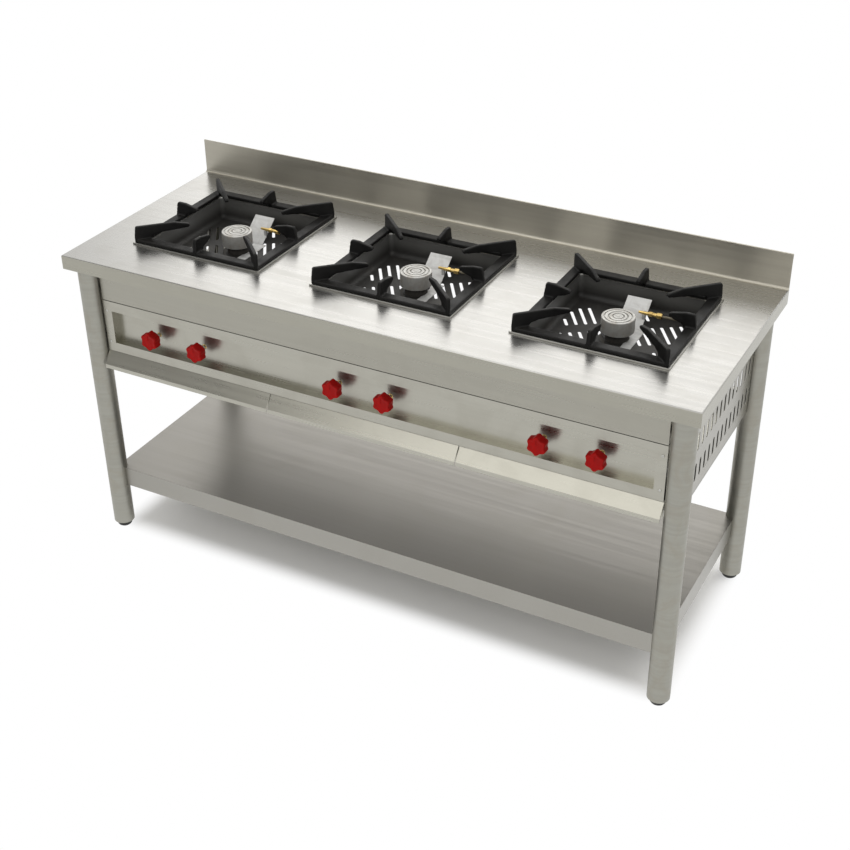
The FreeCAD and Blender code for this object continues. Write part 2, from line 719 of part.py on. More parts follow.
def pan_support(x):
    """A cast square frame with eight ribs that hold a wok or a pan."""
    half_x = GRATE_LENGTH / 2.0
    half_y = GRATE_DEPTH / 2.0
    top = GRATE_BOTTOM + GRATE_RAIL_HEIGHT
    block = box(x - half_x, x + half_x, BURNER_Y - half_y, BURNER_Y + half_y, GRATE_BOTTOM, top)
    edges = [edge for edge in block.Edges if abs(edge.CenterOfMass.z - top) < 0.1]
    frame = block.makeChamfer(GRATE_RAIL_CHAMFER, edges)
    inner_x = half_x - GRATE_RAIL_WIDTH
    inner_y = half_y - GRATE_RAIL_WIDTH
    frame = frame.cut(box(
        x - inner_x, x + inner_x, BURNER_Y - inner_y, BURNER_Y + inner_y,
        GRATE_BOTTOM - 1, top + 1,
    ))
    ribs = []
    corner = math.degrees(math.atan2(half_y, half_x))
    corner_reach = math.hypot(half_x, half_y)
    for angle, outer in ((0, half_x), (90, half_y), (180, half_x), (270, half_y)):
        ribs.append(rib(x, angle, outer, outer - GRATE_RAIL_WIDTH))
    for angle in (corner, 180 - corner, 180 + corner, -corner):
        ribs.append(rib(x, angle, corner_reach, math.hypot(inner_x, inner_y)))
    outline = box(x - half_x, x + half_x, BURNER_Y - half_y, BURNER_Y + half_y, GRATE_BOTTOM, RIB_TOP)
    return joined([frame] + ribs).common(outline)


def burner_head(x):
    """The round burner head, with ring grooves in its top and a spigot below."""
    top = TOP_HEIGHT
    profile = [
        (0, top + HEAD_BOSS_RISE),
        (HEAD_BOSS_RADIUS - 2, top + HEAD_BOSS_RISE),
        (HEAD_BOSS_RADIUS, top),
    ]
    for inner, outer in reversed(HEAD_GROOVES):
        profile += [
            (inner, top),
            (inner, top - HEAD_GROOVE_DEPTH),
            (outer, top - HEAD_GROOVE_DEPTH),
            (outer, top),
        ]
    profile += [
        (HEAD_RADIUS - 2, top),
        (HEAD_RADIUS, top - 2),
        (HEAD_RADIUS, HEAD_BOTTOM + 1),
        (HEAD_RADIUS - 1, HEAD_BOTTOM),
        (HEAD_SPIGOT_RADIUS, HEAD_BOTTOM),
        (HEAD_SPIGOT_RADIUS, HEAD_BOTTOM - HEAD_SPIGOT_DEPTH),
        (HEAD_BORE_RADIUS, HEAD_BOTTOM - HEAD_SPIGOT_DEPTH),
        (HEAD_BORE_RADIUS, top - 12),
        (0, top - 12),
    ]
    return turned(profile, V(x, BURNER_Y, 0), Z_AXIS)


def burner_base(x):
    """The casting under a bowl's floor that carries the burner head."""
    neck_top = HEAD_BOTTOM - BEARING_GAP
    flange_z = BOWL_FLOOR_BOTTOM - BASE_FLANGE_THICKNESS
    centre = V(x, BURNER_Y, 0)
    neck = rod(BASE_NECK_RADIUS, centre + V(0, 0, flange_z), centre + V(0, 0, neck_top))
    flange = rod(BASE_FLANGE_RADIUS, centre + V(0, 0, flange_z), centre + V(0, 0, BOWL_FLOOR_BOTTOM))
    body = rod(BASE_BODY_RADIUS, centre + V(0, 0, BASE_BOTTOM), centre + V(0, 0, flange_z))
    inlet_end = V(x, BURNER_Y - TUBE_INLET_DEPTH, TUBE_Z)
    inlet = rod(TUBE_END_RADIUS, V(x, BURNER_Y, TUBE_Z), inlet_end)
    casting = joined([neck, flange, body, inlet])
    seat_z = neck_top - HEAD_SPIGOT_DEPTH - 4
    seat = rod(BASE_BORE_RADIUS, centre + V(0, 0, seat_z), centre + V(0, 0, neck_top + 1))
    passage = rod(BASE_PASSAGE_RADIUS, centre + V(0, 0, BASE_BOTTOM + 4), centre + V(0, 0, neck_top))
    inlet_bore = rod(TUBE_END_RADIUS - TUBE_WALL, V(x, BURNER_Y, TUBE_Z), inlet_end - V(0, 1, 0))
    return casting.cut(joined([seat, passage, inlet_bore]))


def mixing_tube(x):
    """The venturi tube that feeds gas and air to a burner."""
    length = TUBE_LENGTH
    outside = [
        (TUBE_END_RADIUS, 0),
        (TUBE_THROAT_RADIUS, length * 0.65),
        (TUBE_THROAT_RADIUS, length * 0.75),
        (TUBE_MOUTH_RADIUS, length * 0.92),
        (TUBE_MOUTH_RADIUS, length),
    ]
    inside = [(radius - TUBE_WALL, height) for radius, height in reversed(outside)]
    start = V(x, BURNER_Y - TUBE_INLET_DEPTH, TUBE_Z)
    return turned(outside + inside, start, V(0, -1, 0))


# ---------------------------------------------------------------- gas train
def knob_places():
    """The x place of every knob, from left to right."""
    return [x + side * KNOB_SPREAD for x in KNOB_PAIR_X for side in (-1, 1)]


def manifold_pipe():
    """The gas rail behind the control panel, turned back to the rear inlet."""
    points = [
        V(MANIFOLD_LEFT, MANIFOLD_Y, KNOB_Z),
        V(INLET_X, MANIFOLD_Y, KNOB_Z),
        V(INLET_X, INLET_PIPE_END, KNOB_Z),
    ]
    outside = bent_bar(points, MANIFOLD_RADIUS, INLET_BEND)
    capped = [V(MANIFOLD_LEFT + MANIFOLD_WALL, MANIFOLD_Y, KNOB_Z)] + points[1:]
    inside = bent_bar(capped, MANIFOLD_RADIUS - MANIFOLD_WALL, INLET_BEND)
    return outside.cut(inside)


def inlet_fitting():
    """The hexagon nut and the threaded nipple at the rear end of the gas rail."""
    start = V(INLET_X, INLET_PIPE_END, KNOB_Z)
    end = V(INLET_X, INLET_THREAD_END, KNOB_Z)
    nut_end = start + V(0, INLET_NUT_LENGTH, 0)
    corners = []
    for i in range(6):
        angle = math.radians(60 * i)
        corner = V(INLET_NUT_RADIUS * math.cos(angle), 0, INLET_NUT_RADIUS * math.sin(angle))
        corners.append(start + corner)
    nut = polygon(corners).extrude(V(0, INLET_NUT_LENGTH, 0))
    nipple = rod(INLET_NIPPLE_RADIUS, nut_end, end)
    bore = rod(MANIFOLD_RADIUS - MANIFOLD_WALL, start - V(0, 1, 0), end + V(0, 1, 0))
    return joined([nut, nipple]).cut(bore)


def manifold_clamps():
    """The clamps that hold the gas rail to the back of the control panel."""
    clamps = []
    reach = MANIFOLD_RADIUS + CLAMP_WALL
    for x in CLAMP_X:
        x0 = x - CLAMP_WIDTH / 2.0
        x1 = x + CLAMP_WIDTH / 2.0
        band = rod(reach, V(x0, MANIFOLD_Y, KNOB_Z), V(x1, MANIFOLD_Y, KNOB_Z))
        foot_block = box(x0, x1, PANEL_REAR_Y, MANIFOLD_Y, KNOB_Z - CLAMP_WALL, KNOB_Z + CLAMP_WALL)
        pad = box(x0, x1, PANEL_REAR_Y, PANEL_REAR_Y + CLAMP_WALL, KNOB_Z - reach, KNOB_Z + reach)
        pipe = rod(MANIFOLD_RADIUS, V(x0 - 1, MANIFOLD_Y, KNOB_Z), V(x1 + 1, MANIFOLD_Y, KNOB_Z))
        clamps.append(joined([band, foot_block, pad]).cut(pipe))
    return Part.Compound(clamps)


def gas_valves():
    """The valve behind each knob, seated on the gas rail."""
    valves = []
    pipe = rod(MANIFOLD_RADIUS, V(MANIFOLD_LEFT, MANIFOLD_Y, KNOB_Z), V(INLET_X, MANIFOLD_Y, KNOB_Z))
    for x in knob_places():
        front = V(x, PANEL_REAR_Y, KNOB_Z)
        body = rod(VALVE_RADIUS, front, V(x, MANIFOLD_Y, KNOB_Z))
        outlet_end = V(x, VALVE_OUTLET_Y, VALVE_OUTLET_TOP)
        outlet = rod(VALVE_OUTLET_RADIUS, V(x, VALVE_OUTLET_Y, KNOB_Z), outlet_end)
        bore_start = front - V(0, 1, 0)
        bore = rod(SPINDLE_RADIUS + SPINDLE_FIT, bore_start, front + V(0, VALVE_BORE_DEPTH, 0))
        valves.append(joined([body, outlet]).cut(bore).cut(pipe))
    return Part.Compound(valves)


def burner_supply_pipes():
    """The pipe and injector that lead from each left valve to its mixing tube."""
    pipes = []
    mouth_y = BURNER_Y - TUBE_INLET_DEPTH - TUBE_LENGTH
    injector_end = mouth_y - INJECTOR_GAP
    injector_start = injector_end - INJECTOR_LENGTH
    for x, pair_x in zip(BURNER_X, KNOB_PAIR_X):
        valve_x = pair_x - KNOB_SPREAD
        pipe = bent_bar([
            V(valve_x, VALVE_OUTLET_Y, VALVE_OUTLET_TOP),
            V(valve_x, VALVE_OUTLET_Y, TUBE_Z),
            V(x, VALVE_OUTLET_Y, TUBE_Z),
            V(x, injector_start + 1, TUBE_Z),
        ], SUPPLY_RADIUS, SUPPLY_BEND)
        injector = turned([
            (0, 0),
            (INJECTOR_RADIUS, 0),
            (INJECTOR_RADIUS, INJECTOR_LENGTH * 0.6),
            (INJECTOR_RADIUS * 0.45, INJECTOR_LENGTH),
            (0, INJECTOR_LENGTH),
        ], V(x, injector_start, TUBE_Z), Y_AXIS)
        pipes.append(joined([pipe, injector]))
    return Part.Compound(pipes)


def pilot_supply_pipes():
    """The thin pipe that leads from each right valve to its pilot jet."""
    pipes = []
    for x, pair_x in zip(BURNER_X, KNOB_PAIR_X):
        valve_x = pair_x + KNOB_SPREAD
        run_x = x + PILOT_RUN_X
        pipes.append(bent_bar([
            V(valve_x, VALVE_OUTLET_Y, VALVE_OUTLET_TOP),
            V(valve_x, VALVE_OUTLET_Y, PILOT_Z),
            V(run_x, VALVE_OUTLET_Y, PILOT_Z),
            V(run_x, PILOT_Y, PILOT_Z),
            V(x + PILOT_JET_START, PILOT_Y, PILOT_Z),
        ], PILOT_RADIUS, PILOT_BEND))
    return Part.Compound(pipes)


def pilot_jets():
    """The brass pilot jet beside each burner."""
    jets = []
    for x in BURNER_X:
        start = V(x + PILOT_JET_START, PILOT_Y, PILOT_Z)
        length = PILOT_JET_START - PILOT_JET_END
        profile = [
            (0, 0),
            (PILOT_NUT_RADIUS, 0),
            (PILOT_NUT_RADIUS, PILOT_NUT_LENGTH),
            (PILOT_JET_RADIUS, PILOT_NUT_LENGTH),
            (PILOT_JET_RADIUS, length * 0.4),
            (PILOT_NUT_RADIUS - 1, length * 0.4),
            (PILOT_NUT_RADIUS - 1, length * 0.55),
            (PILOT_JET_RADIUS, length * 0.55),
            (PILOT_JET_RADIUS * 0.6, length),
            (0, length),
        ]
        jets.append(turned(profile, start, V(-1, 0, 0)))
    return Part.Compound(jets)


def pilot_brackets():
    """The sloping plate behind each pilot jet, with a strap that runs past the burner."""
    brackets = []
    floor_z = BOWL_FLOOR_TOP
    slope = math.atan2(BRACKET_TOP - floor_z, BRACKET_BACK - BRACKET_HEEL)
    rise = SHEET / math.cos(slope)
    plate = [
        (BRACKET_HEEL, floor_z),
        (BRACKET_BACK, BRACKET_TOP),
        (BRACKET_BACK, BRACKET_TOP + rise),
        (BRACKET_HEEL, floor_z + rise),
    ]
    clip_z = floor_z + (PILOT_Y - BRACKET_HEEL) * math.tan(slope)
    for x in BURNER_X:
        back = slab_along_x(plate, x + BRACKET_LEFT, x + BRACKET_RIGHT)
        heel = box(
            x + BRACKET_LEFT, x + STRAP_RIGHT, BRACKET_HEEL - STRAP_RIGHT + STRAP_LEFT, BRACKET_HEEL + SHEET,
            floor_z, floor_z + SHEET,
        )
        strap = box(
            x + STRAP_LEFT, x + STRAP_RIGHT, STRAP_FRONT, BRACKET_HEEL,
            floor_z, floor_z + SHEET,
        )
        clip = box(
            x + BRACKET_RIGHT - CLIP_WIDTH, x + BRACKET_RIGHT,
            PILOT_Y - CLIP_DEPTH / 2, PILOT_Y + CLIP_DEPTH / 2,
            clip_z, PILOT_Z,
        )
        jet = rod(PILOT_JET_RADIUS, V(x, PILOT_Y, PILOT_Z), V(x + PILOT_JET_START, PILOT_Y, PILOT_Z))
        well = rod(BASE_NECK_RADIUS + 1, V(x, BURNER_Y, floor_z - 1), V(x, BURNER_Y, floor_z + 4))
        brackets.append(joined([back, heel, strap, clip]).cut(jet).cut(well))
    return Part.Compound(brackets)


# ---------------------------------------------------------------- knobs
def d_shaft(radius, flat, x, y0, y1):
    """A round bar along Y with one flat side."""
    bar = rod(radius, V(x, y0, KNOB_Z), V(x, y1, KNOB_Z))
    return bar.cut(box(x - 2 * radius, x + 2 * radius, y0, y1, KNOB_Z + flat, KNOB_Z + 2 * radius))


def knob_outline(x, y):
    """A six-lobed outline of alternate round corners and hollows."""
    edges = []
    half = 180.0 / KNOB_LOBES
    quarter = half / 2.0
    shoulder = (KNOB_RADIUS + KNOB_WAIST) / 2.0

    def at(radius, degrees):
        turn = math.radians(degrees)
        return V(x + radius * math.cos(turn), y, KNOB_Z + radius * math.sin(turn))

    for i in range(KNOB_LOBES):
        lobe = 90.0 + i * 2 * half
        for radius, middle in ((KNOB_RADIUS, lobe), (KNOB_WAIST, lobe + half)):
            start = at(shoulder, middle - quarter)
            end = at(shoulder, middle + quarter)
            edges.append(Part.Arc(start, at(radius, middle), end).toShape())
    return Part.Wire(edges)


def knob(x):
    """A lobed control knob with a pointer groove and a blind D-shaped bore."""
    skirt_y = KNOB_BACK_Y - KNOB_SKIRT_DEPTH
    grip = Part.Face(knob_outline(x, KNOB_FRONT_Y)).extrude(V(0, skirt_y - KNOB_FRONT_Y, 0))
    rim = [edge for edge in grip.Edges if abs(edge.CenterOfMass.y - KNOB_FRONT_Y) < 0.1]
    grip = grip.makeChamfer(KNOB_EDGE, rim)
    skirt = rod(KNOB_SKIRT_RADIUS, V(x, skirt_y, KNOB_Z), V(x, KNOB_BACK_Y, KNOB_Z))
    pointer = box(
        x - POINTER_WIDTH / 2, x + POINTER_WIDTH / 2,
        KNOB_FRONT_Y - 1, KNOB_FRONT_Y + POINTER_DEPTH,
        KNOB_Z + 4, KNOB_Z + 4 + POINTER_LENGTH,
    )
    bore_front = KNOB_FRONT_Y + KNOB_CAP
    flat_end = SPINDLE_FRONT_Y + SPINDLE_FLAT_LENGTH
    bore = d_shaft(SPINDLE_RADIUS, SPINDLE_FLAT, x, bore_front, flat_end)
    back_bore = rod(SPINDLE_RADIUS, V(x, flat_end, KNOB_Z), V(x, KNOB_BACK_Y + 1, KNOB_Z))
    return joined([grip, skirt]).cut(pointer).cut(joined([bore, back_bore]))


def spindle(x):
    """The valve spindle, flattened on one side where the knob fits."""
    flat_end = SPINDLE_FRONT_Y + SPINDLE_FLAT_LENGTH
    front = d_shaft(SPINDLE_RADIUS, SPINDLE_FLAT, x, SPINDLE_FRONT_Y, flat_end)
    back = rod(SPINDLE_RADIUS, V(x, flat_end, KNOB_Z), V(x, SPINDLE_BACK_Y, KNOB_Z))
    return joined([front, back])


# ---------------------------------------------------------------- the whole range
def nodes():
    """Every sub-part of the range, by name."""
    parts = {
        "worktop": worktop(),
        "splashback": splashback(),
        "leg_sockets": leg_sockets(),
        "leg_inserts": leg_inserts(),
        "undershelf": undershelf(),
        "shelf_stiffeners": shelf_stiffeners(),
        "front_fascia": front_fascia(),
        "control_panel": control_panel(),
        "panel_screws": panel_screws(),
        "left_side_panel": side_panel(-1),
        "right_side_panel": side_panel(1),
        "rear_top_rail": rear_rail(REAR_TOP_RAIL_BOTTOM, REAR_TOP_RAIL_TOP),
        "rear_lower_rail": rear_rail(REAR_LOW_RAIL_BOTTOM, REAR_LOW_RAIL_TOP),
        "tray_runners": tray_runners(),
        "manifold_pipe": manifold_pipe(),
        "inlet_fitting": inlet_fitting(),
        "manifold_clamps": manifold_clamps(),
        "gas_valves": gas_valves(),
        "burner_supply_pipes": burner_supply_pipes(),
        "pilot_supply_pipes": pilot_supply_pipes(),
        "pilot_jets": pilot_jets(),
        "pilot_brackets": pilot_brackets(),
    }
    for name, (x, y) in LEG_PLACES.items():
        parts[name + "_leg"] = leg(x, y)
        parts[name + "_foot"] = foot(x, y)
    for i, x in enumerate(BURNER_X, start=1):
        parts["bowl_%d" % i] = bowl(x)
        parts["burner_base_%d" % i] = burner_base(x)
        parts["mixing_tube_%d" % i] = mixing_tube(x)
        parts["burner_head_%d" % i] = burner_head(x)
        parts["pan_support_%d" % i] = pan_support(x)
    for i, x in enumerate(KNOB_PAIR_X, start=1):
        for role, side in (("burner", -1), ("pilot", 1)):
            parts["%s_knob_%d" % (role, i)] = knob(x + side * KNOB_SPREAD)
            parts["%s_spindle_%d" % (role, i)] = spindle(x + side * KNOB_SPREAD)
    for i in range(len(tray_seams()) - 1):
        parts["drip_tray_%d" % (i + 1)] = drip_tray(i)
    return parts


def write_parts():
    """Write one STEP file for each sub-part."""
    os.makedirs("parts", exist_ok=True)
    for name, shape in nodes().items():
        if not shape.isValid():
            raise ValueError("shape is not valid: " + name)
        shape.exportStep("parts/%s.step" % name)


write_parts()
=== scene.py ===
"""Looks of a three-burner commercial wok range: finishes, cast and turned pieces, studio.

Metres. +X runs to the right along the range, +Y to its back, +Z up.
"""

import json
import logging
import math
from dataclasses import dataclass, field
from enum import Enum
from typing import Callable, Iterable, Sequence

import bmesh
import bpy
from mathutils import Matrix, Vector

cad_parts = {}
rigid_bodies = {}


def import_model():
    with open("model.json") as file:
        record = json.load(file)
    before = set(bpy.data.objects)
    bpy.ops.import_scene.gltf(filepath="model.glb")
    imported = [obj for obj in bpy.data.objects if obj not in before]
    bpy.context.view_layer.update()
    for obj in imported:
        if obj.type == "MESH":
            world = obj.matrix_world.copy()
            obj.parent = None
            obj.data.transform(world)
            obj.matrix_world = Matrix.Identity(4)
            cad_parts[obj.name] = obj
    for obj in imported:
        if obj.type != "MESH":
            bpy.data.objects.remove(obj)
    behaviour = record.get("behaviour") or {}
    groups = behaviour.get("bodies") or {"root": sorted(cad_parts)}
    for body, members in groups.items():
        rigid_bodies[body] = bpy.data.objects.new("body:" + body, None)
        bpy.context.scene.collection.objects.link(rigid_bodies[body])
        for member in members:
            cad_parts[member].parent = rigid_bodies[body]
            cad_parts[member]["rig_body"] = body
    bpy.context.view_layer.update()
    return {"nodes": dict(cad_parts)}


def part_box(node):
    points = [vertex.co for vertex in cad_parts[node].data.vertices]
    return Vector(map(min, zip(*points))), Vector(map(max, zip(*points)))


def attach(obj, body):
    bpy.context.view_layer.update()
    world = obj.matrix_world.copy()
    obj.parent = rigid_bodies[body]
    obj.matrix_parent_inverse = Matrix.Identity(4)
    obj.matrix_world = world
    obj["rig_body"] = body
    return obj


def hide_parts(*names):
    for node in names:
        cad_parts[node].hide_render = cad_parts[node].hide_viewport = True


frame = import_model()

LOG = logging.getLogger("wok_range")
BURNERS = (1, 2, 3)
KNOB_ROLES = ("burner", "pilot")
WELD_DISTANCE = 1e-6
EDGE_ANGLE = 40.0
# The height of a face's normal at which the painted light on top faces or the painted shade on under faces
# starts and is full.
PAINTED_TOP_RANGE = (0.35, 0.55)
PAINTED_UNDER_RANGE = (-0.5, -0.9)

Point = tuple[float, float, float]
Colour = tuple[float, float, float]
Profile = list[tuple[float, float]]
Node = bpy.types.Node
Socket = bpy.types.NodeSocket
Form = bmesh.types.BMesh


class Grain(Enum):
    """The way in which a sheet was brushed, as stretched noise and a highlight direction."""

    ALONG_X = ((4.0, 700.0, 700.0), (0.0, 0.7071, 0.7071))
    ALONG_Y = ((700.0, 4.0, 700.0), (0.7071, 0.0, 0.7071))

    @property
    def stretch(self) -> Point:
        """How much noise is squeezed along each axis."""
        return self.value[0]

    @property
    def across(self) -> Point:
        """The direction across the brush lines."""
        return self.value[1]


class Soot(Enum):
    """How a burner's flame has marked the metal around it."""

    NONE = 0.0
    LIGHT = 0.35


# ---------------------------------------------------------------- node helpers
class Bench:
    """Short ways to place nodes in one tree and to join them."""

    def __init__(self, tree: bpy.types.NodeTree) -> None:
        """Keep the tree that the nodes go in."""
        self.tree = tree

    def node(self, kind: str, **settings: object) -> Node:
        """Place one node.

        Args:
            kind: The node's type name, without its ShaderNode start.
            settings: Attributes to set on the node.

        Returns:
            The new node.
        """
        made = self.tree.nodes.new("ShaderNode" + kind)
        for name, value in settings.items():
            setattr(made, name, value)
        return made

    def feed(self, target: Socket, source: object) -> None:
        """Join a socket to another socket, or set its value.

        Args:
            target: The input socket.
            source: An output socket, a number or a tuple.
        """
        if isinstance(source, Socket):
            self.tree.links.new(source, target)
        else:
            target.default_value = source

    def math(self, operation: str, first: object, second: object = 0.0) -> Socket:
        """One number from two, each of them a socket or a number."""
        return self.joined(self.node("Math", operation=operation), first, second)

    def times(self, first: object, second: object) -> Socket:
        """One number times another, each of them a socket or a number."""
        return self.math("MULTIPLY", first, second)

    def scaled(self, vector: Socket, factors: object) -> Socket:
        """A vector times a vector socket or three numbers."""
        return self.joined(self.node("VectorMath", operation="MULTIPLY"), vector, factors)

    def fill(self, target: Node, **sources: object) -> Node:
        """Feed named inputs of a node.

        Args:
            target: The node.
            sources: What goes in each input, with _ for a space in its name.

        Returns:
            The same node.
        """
        for name, source in sources.items():
            self.feed(target.inputs[name.replace("_", " ")], source)
        return target

    def joined(self, target: Node, *sources: object) -> Socket:
        """Feed the first inputs of a node, in order.

        Args:
            target: The node.
            sources: What goes in each input.

        Returns:
            The node's first output.
        """
        for socket, source in zip(target.inputs, sources):
            self.feed(socket, source)
        return target.outputs[0]

    def noise(self, vector: object, scale: object, detail: float = 3.0, rough: float = 0.55,
              bend: float = 0.0) -> Socket:
        """Smooth noise from 0 to 1.

        Args:
            vector: Where the noise is read.
            scale: Cells per unit.
            detail: Octaves.
            rough: How strong the small octaves are.
            bend: Distortion.

        Returns:
            The noise's value.
        """
        made = self.fill(self.node("TexNoise"), Vector=vector, Scale=scale, Detail=detail,
                         Roughness=rough, Distortion=bend)
        return made.outputs["Fac"]

    def span(self, value: object, low: float, high: float, start: float = 0.0,
             end: float = 1.0) -> Socket:
        """Map a range smoothly to another and hold it at its ends.

        Args:
            value: The number that is mapped.
            low: Where the mapping starts.
            high: Where it ends.
            start: The result at low.
            end: The result at high.

        Returns:
            The mapped value.
        """
        made = self.node("MapRange", interpolation_type="SMOOTHSTEP")
        return self.joined(made, value, low, high, start, end)

    def mixed(self, share: object, first: object, second: object, blend: str = "MIX") -> Socket:
        """Blend two colours.

        Args:
            share: How much of the second colour shows.
            first: A socket or a colour.
            second: A socket or a colour.
            blend: How the two are blended.

        Returns:
            The blended colour.
        """
        made = self.node("Mix", data_type="RGBA", blend_type=blend)
        # A Mix node has its colours in inputs 6 and 7 and in output 2.
        for index, source in ((0, share), (6, opaque(first)), (7, opaque(second))):
            self.feed(made.inputs[index], source)
        return made.outputs[2]

    def place(self, group: bpy.types.NodeTree, **values: object) -> Node:
        """Place a shared node group with its own values."""
        return self.fill(self.node("Group", node_tree=group), **values)

    def here(self) -> Socket:
        """The place on the piece, in metres."""
        return self.node("TexCoord").outputs["Object"]

    def parts(self, vector: Socket) -> Sequence[Socket]:
        """The three numbers of a vector."""
        return self.fill(self.node("SeparateXYZ"), Vector=vector).outputs

    def facing_up(self) -> Socket:
        """1 where a face looks up, -1 where it looks down."""
        return self.parts(self.node("NewGeometry").outputs["Normal"])[2]

    def bump(self, height: object, strength: float, depth: float) -> Socket:
        """A normal bumped by a height map, of which 1 stands for a depth in metres."""
        made = self.fill(self.node("Bump"), Height=height, Strength=strength, Distance=depth)
        return made.outputs[0]

    def shown(self, share: object, first: Socket, second: Socket) -> None:
        """Show a blend of two shaders.

        Args:
            share: How much of the second shader shows.
            first: A shader.
            second: A shader.
        """
        mix = self.joined(self.node("MixShader"), share, first, second)
        self.feed(self.tree.nodes["Material Output"].inputs["Surface"], mix)


def opaque(colour: object) -> object:
    """A colour with alpha 1, or the socket that was given."""
    return (*colour, 1.0) if isinstance(colour, tuple) else colour


def new_group(name: str, results: Sequence[str],
              **settings: object) -> tuple[Bench, Sequence[Socket], Node]:
    """Start a shared node group that reads a place on the piece.

    Args:
        name: The group's name.
        results: The name of each number that it gives.
        settings: The value of each more input, a number or three numbers.

    Returns:
        The bench for its nodes, its inputs' sockets and its output node.
    """
    tree = bpy.data.node_groups.new(name, "ShaderNodeTree")
    for label, value in {"Place": (0, 0, 0), **settings}.items():
        kind = "NodeSocketVector" if isinstance(value, tuple) else "NodeSocketFloat"
        tree.interface.new_socket(label, in_out="INPUT", socket_type=kind).default_value = value
    for label in results:
        tree.interface.new_socket(label, in_out="OUTPUT", socket_type="NodeSocketFloat")
    given = tree.nodes.new("NodeGroupInput")
    return Bench(tree), given.outputs, tree.nodes.new("NodeGroupOutput")


class Effects:
    """The effects that more than one finish uses, each built once."""

    def __init__(self) -> None:
        """Build every group."""
        self.brushing = self._brushing()
        self.wiping = self._wiping()
        self.casting = self._casting()
        self.settling = self._settling()
        self.edges = self._edges()

    @staticmethod
    def _brushing() -> bpy.types.NodeTree:
        """Long streaks and fine lines left by a brush.

        Returns:
            The group.
        """
        bench, given, result = new_group("brush_lines", ("Streaks", "Lines"), Stretch=(4, 700, 700))
        run = bench.scaled(given["Place"], given["Stretch"])
        broad = bench.scaled(run, (0.35, 0.12, 0.12))
        streaks = bench.span(bench.noise(broad, 1.0, 4.0, 0.6), 0.25, 0.75)
        bench.fill(result, Streaks=streaks, Lines=bench.noise(run, 1.0, 2.0, 0.6))
        return bench.tree

    @staticmethod
    def _wiping() -> bpy.types.NodeTree:
        """Cloudy marks of a cloth and dried drops on a wiped sheet.

        Returns:
            The group.
        """
        bench, given, result = new_group("wipe_marks", ("Cloud", "Drops"), Size=6.0, Amount=0.5)
        place, amount = given["Place"], given["Amount"]
        arcs = bench.noise(place, given["Size"], 5.0, 0.6, 1.4)
        cells = bench.fill(bench.node("TexVoronoi", feature="F1"), Vector=place, Scale=60.0)
        rare = bench.span(bench.noise(place, 9.0), 0.58, 0.66)
        rings = bench.span(cells.outputs["Distance"], 0.16, 0.08)
        bench.fill(result, Cloud=bench.times(bench.span(arcs, 0.42, 0.68), amount),
                   Drops=bench.times(bench.times(rings, rare), amount))
        return bench.tree

    @staticmethod
    def _casting() -> bpy.types.NodeTree:
        """The sandy skin of a casting.

        Returns:
            The group.
        """
        bench, given, result = new_group("cast_skin", ("Height", "Patches"), Grit=900.0)
        grit = bench.noise(given["Place"], given["Grit"], 3.0, 0.7)
        lumps = bench.noise(given["Place"], 130.0, 2.0)
        patches = bench.noise(given["Place"], 22.0, 4.0, 0.65)
        bench.fill(result, Height=bench.math("ADD", bench.times(grit, 0.6), bench.times(lumps, 0.8)),
                   Patches=bench.span(patches, 0.35, 0.7))
        return bench.tree

    @staticmethod
    def _settling() -> bpy.types.NodeTree:
        """Dust and grease that settles on faces that look up.

        Returns:
            The group.
        """
        bench, given, result = new_group("settled_dust", ("Mask",), Amount=0.3)
        patchy = bench.span(bench.noise(given["Place"], 35.0, 5.0, 0.65), 0.35, 0.75)
        facing = bench.times(bench.span(bench.facing_up(), 0.3, 0.95), patchy)
        bench.fill(result, Mask=bench.times(facing, given["Amount"]))
        return bench.tree

    @staticmethod
    def _edges() -> bpy.types.NodeTree:
        """Edges rubbed by use, found where a rounded normal leaves the face's own.

        Returns:
            The group.
        """
        bench, given, result = new_group("rubbed_edges", ("Mask",), Reach=0.0015, Amount=0.5)
        soft = bench.fill(bench.node("Bevel", samples=4), Radius=given["Reach"])
        turned = bench.node("VectorMath", operation="DOT_PRODUCT")
        bench.joined(turned, soft.outputs[0], bench.node("NewGeometry").outputs["Normal"])
        found = bench.span(turned.outputs["Value"], 0.99, 0.86)
        broken = bench.span(bench.noise(given["Place"], 120.0, 4.0, 0.7), 0.35, 0.6)
        bench.fill(result, Mask=bench.times(bench.times(found, broken), given["Amount"]))
        return bench.tree


EFFECTS = Effects()


# ---------------------------------------------------------------- finishes
@dataclass(frozen=True)
class Finish:
    """The base of every finish: a name, a colour and a roughness."""

    name: str
    colour: Colour
    roughness: float

    def material(self) -> bpy.types.Material:
        """Build the material, or find it again.

        Returns:
            The material.
        """
        label = "finish_" + self.name
        made = bpy.data.materials.get(label)
        if made is None:
            made = bpy.data.materials.new(label)
            made.use_nodes = True
            made.diffuse_color = opaque(self.colour)
            self.dress(Bench(made.node_tree), made.node_tree.nodes["Principled BSDF"])
        return made

    def cover(self, bench: Bench, shader: Node, colour: Socket, normal: Socket, worn: Socket,
              by: float) -> None:
        """Feed the colour and the normal, and a roughness that grows where the surface is worn.

        Args:
            bench: Where the nodes go.
            shader: The Principled BSDF.
            colour: The colour.
            normal: The normal.
            worn: Where the surface is worn.
            by: How much rougher it is there.
        """
        rough = bench.math("ADD", self.roughness, bench.times(worn, by))
        bench.fill(shader, Base_Color=colour, Roughness=rough, Normal=normal)

    def dress(self, bench: Bench, shader: Node) -> None:
        """Join the finish's own nodes to the shader.

        Args:
            bench: Where the nodes go.
            shader: The Principled BSDF.
        """
        raise NotImplementedError


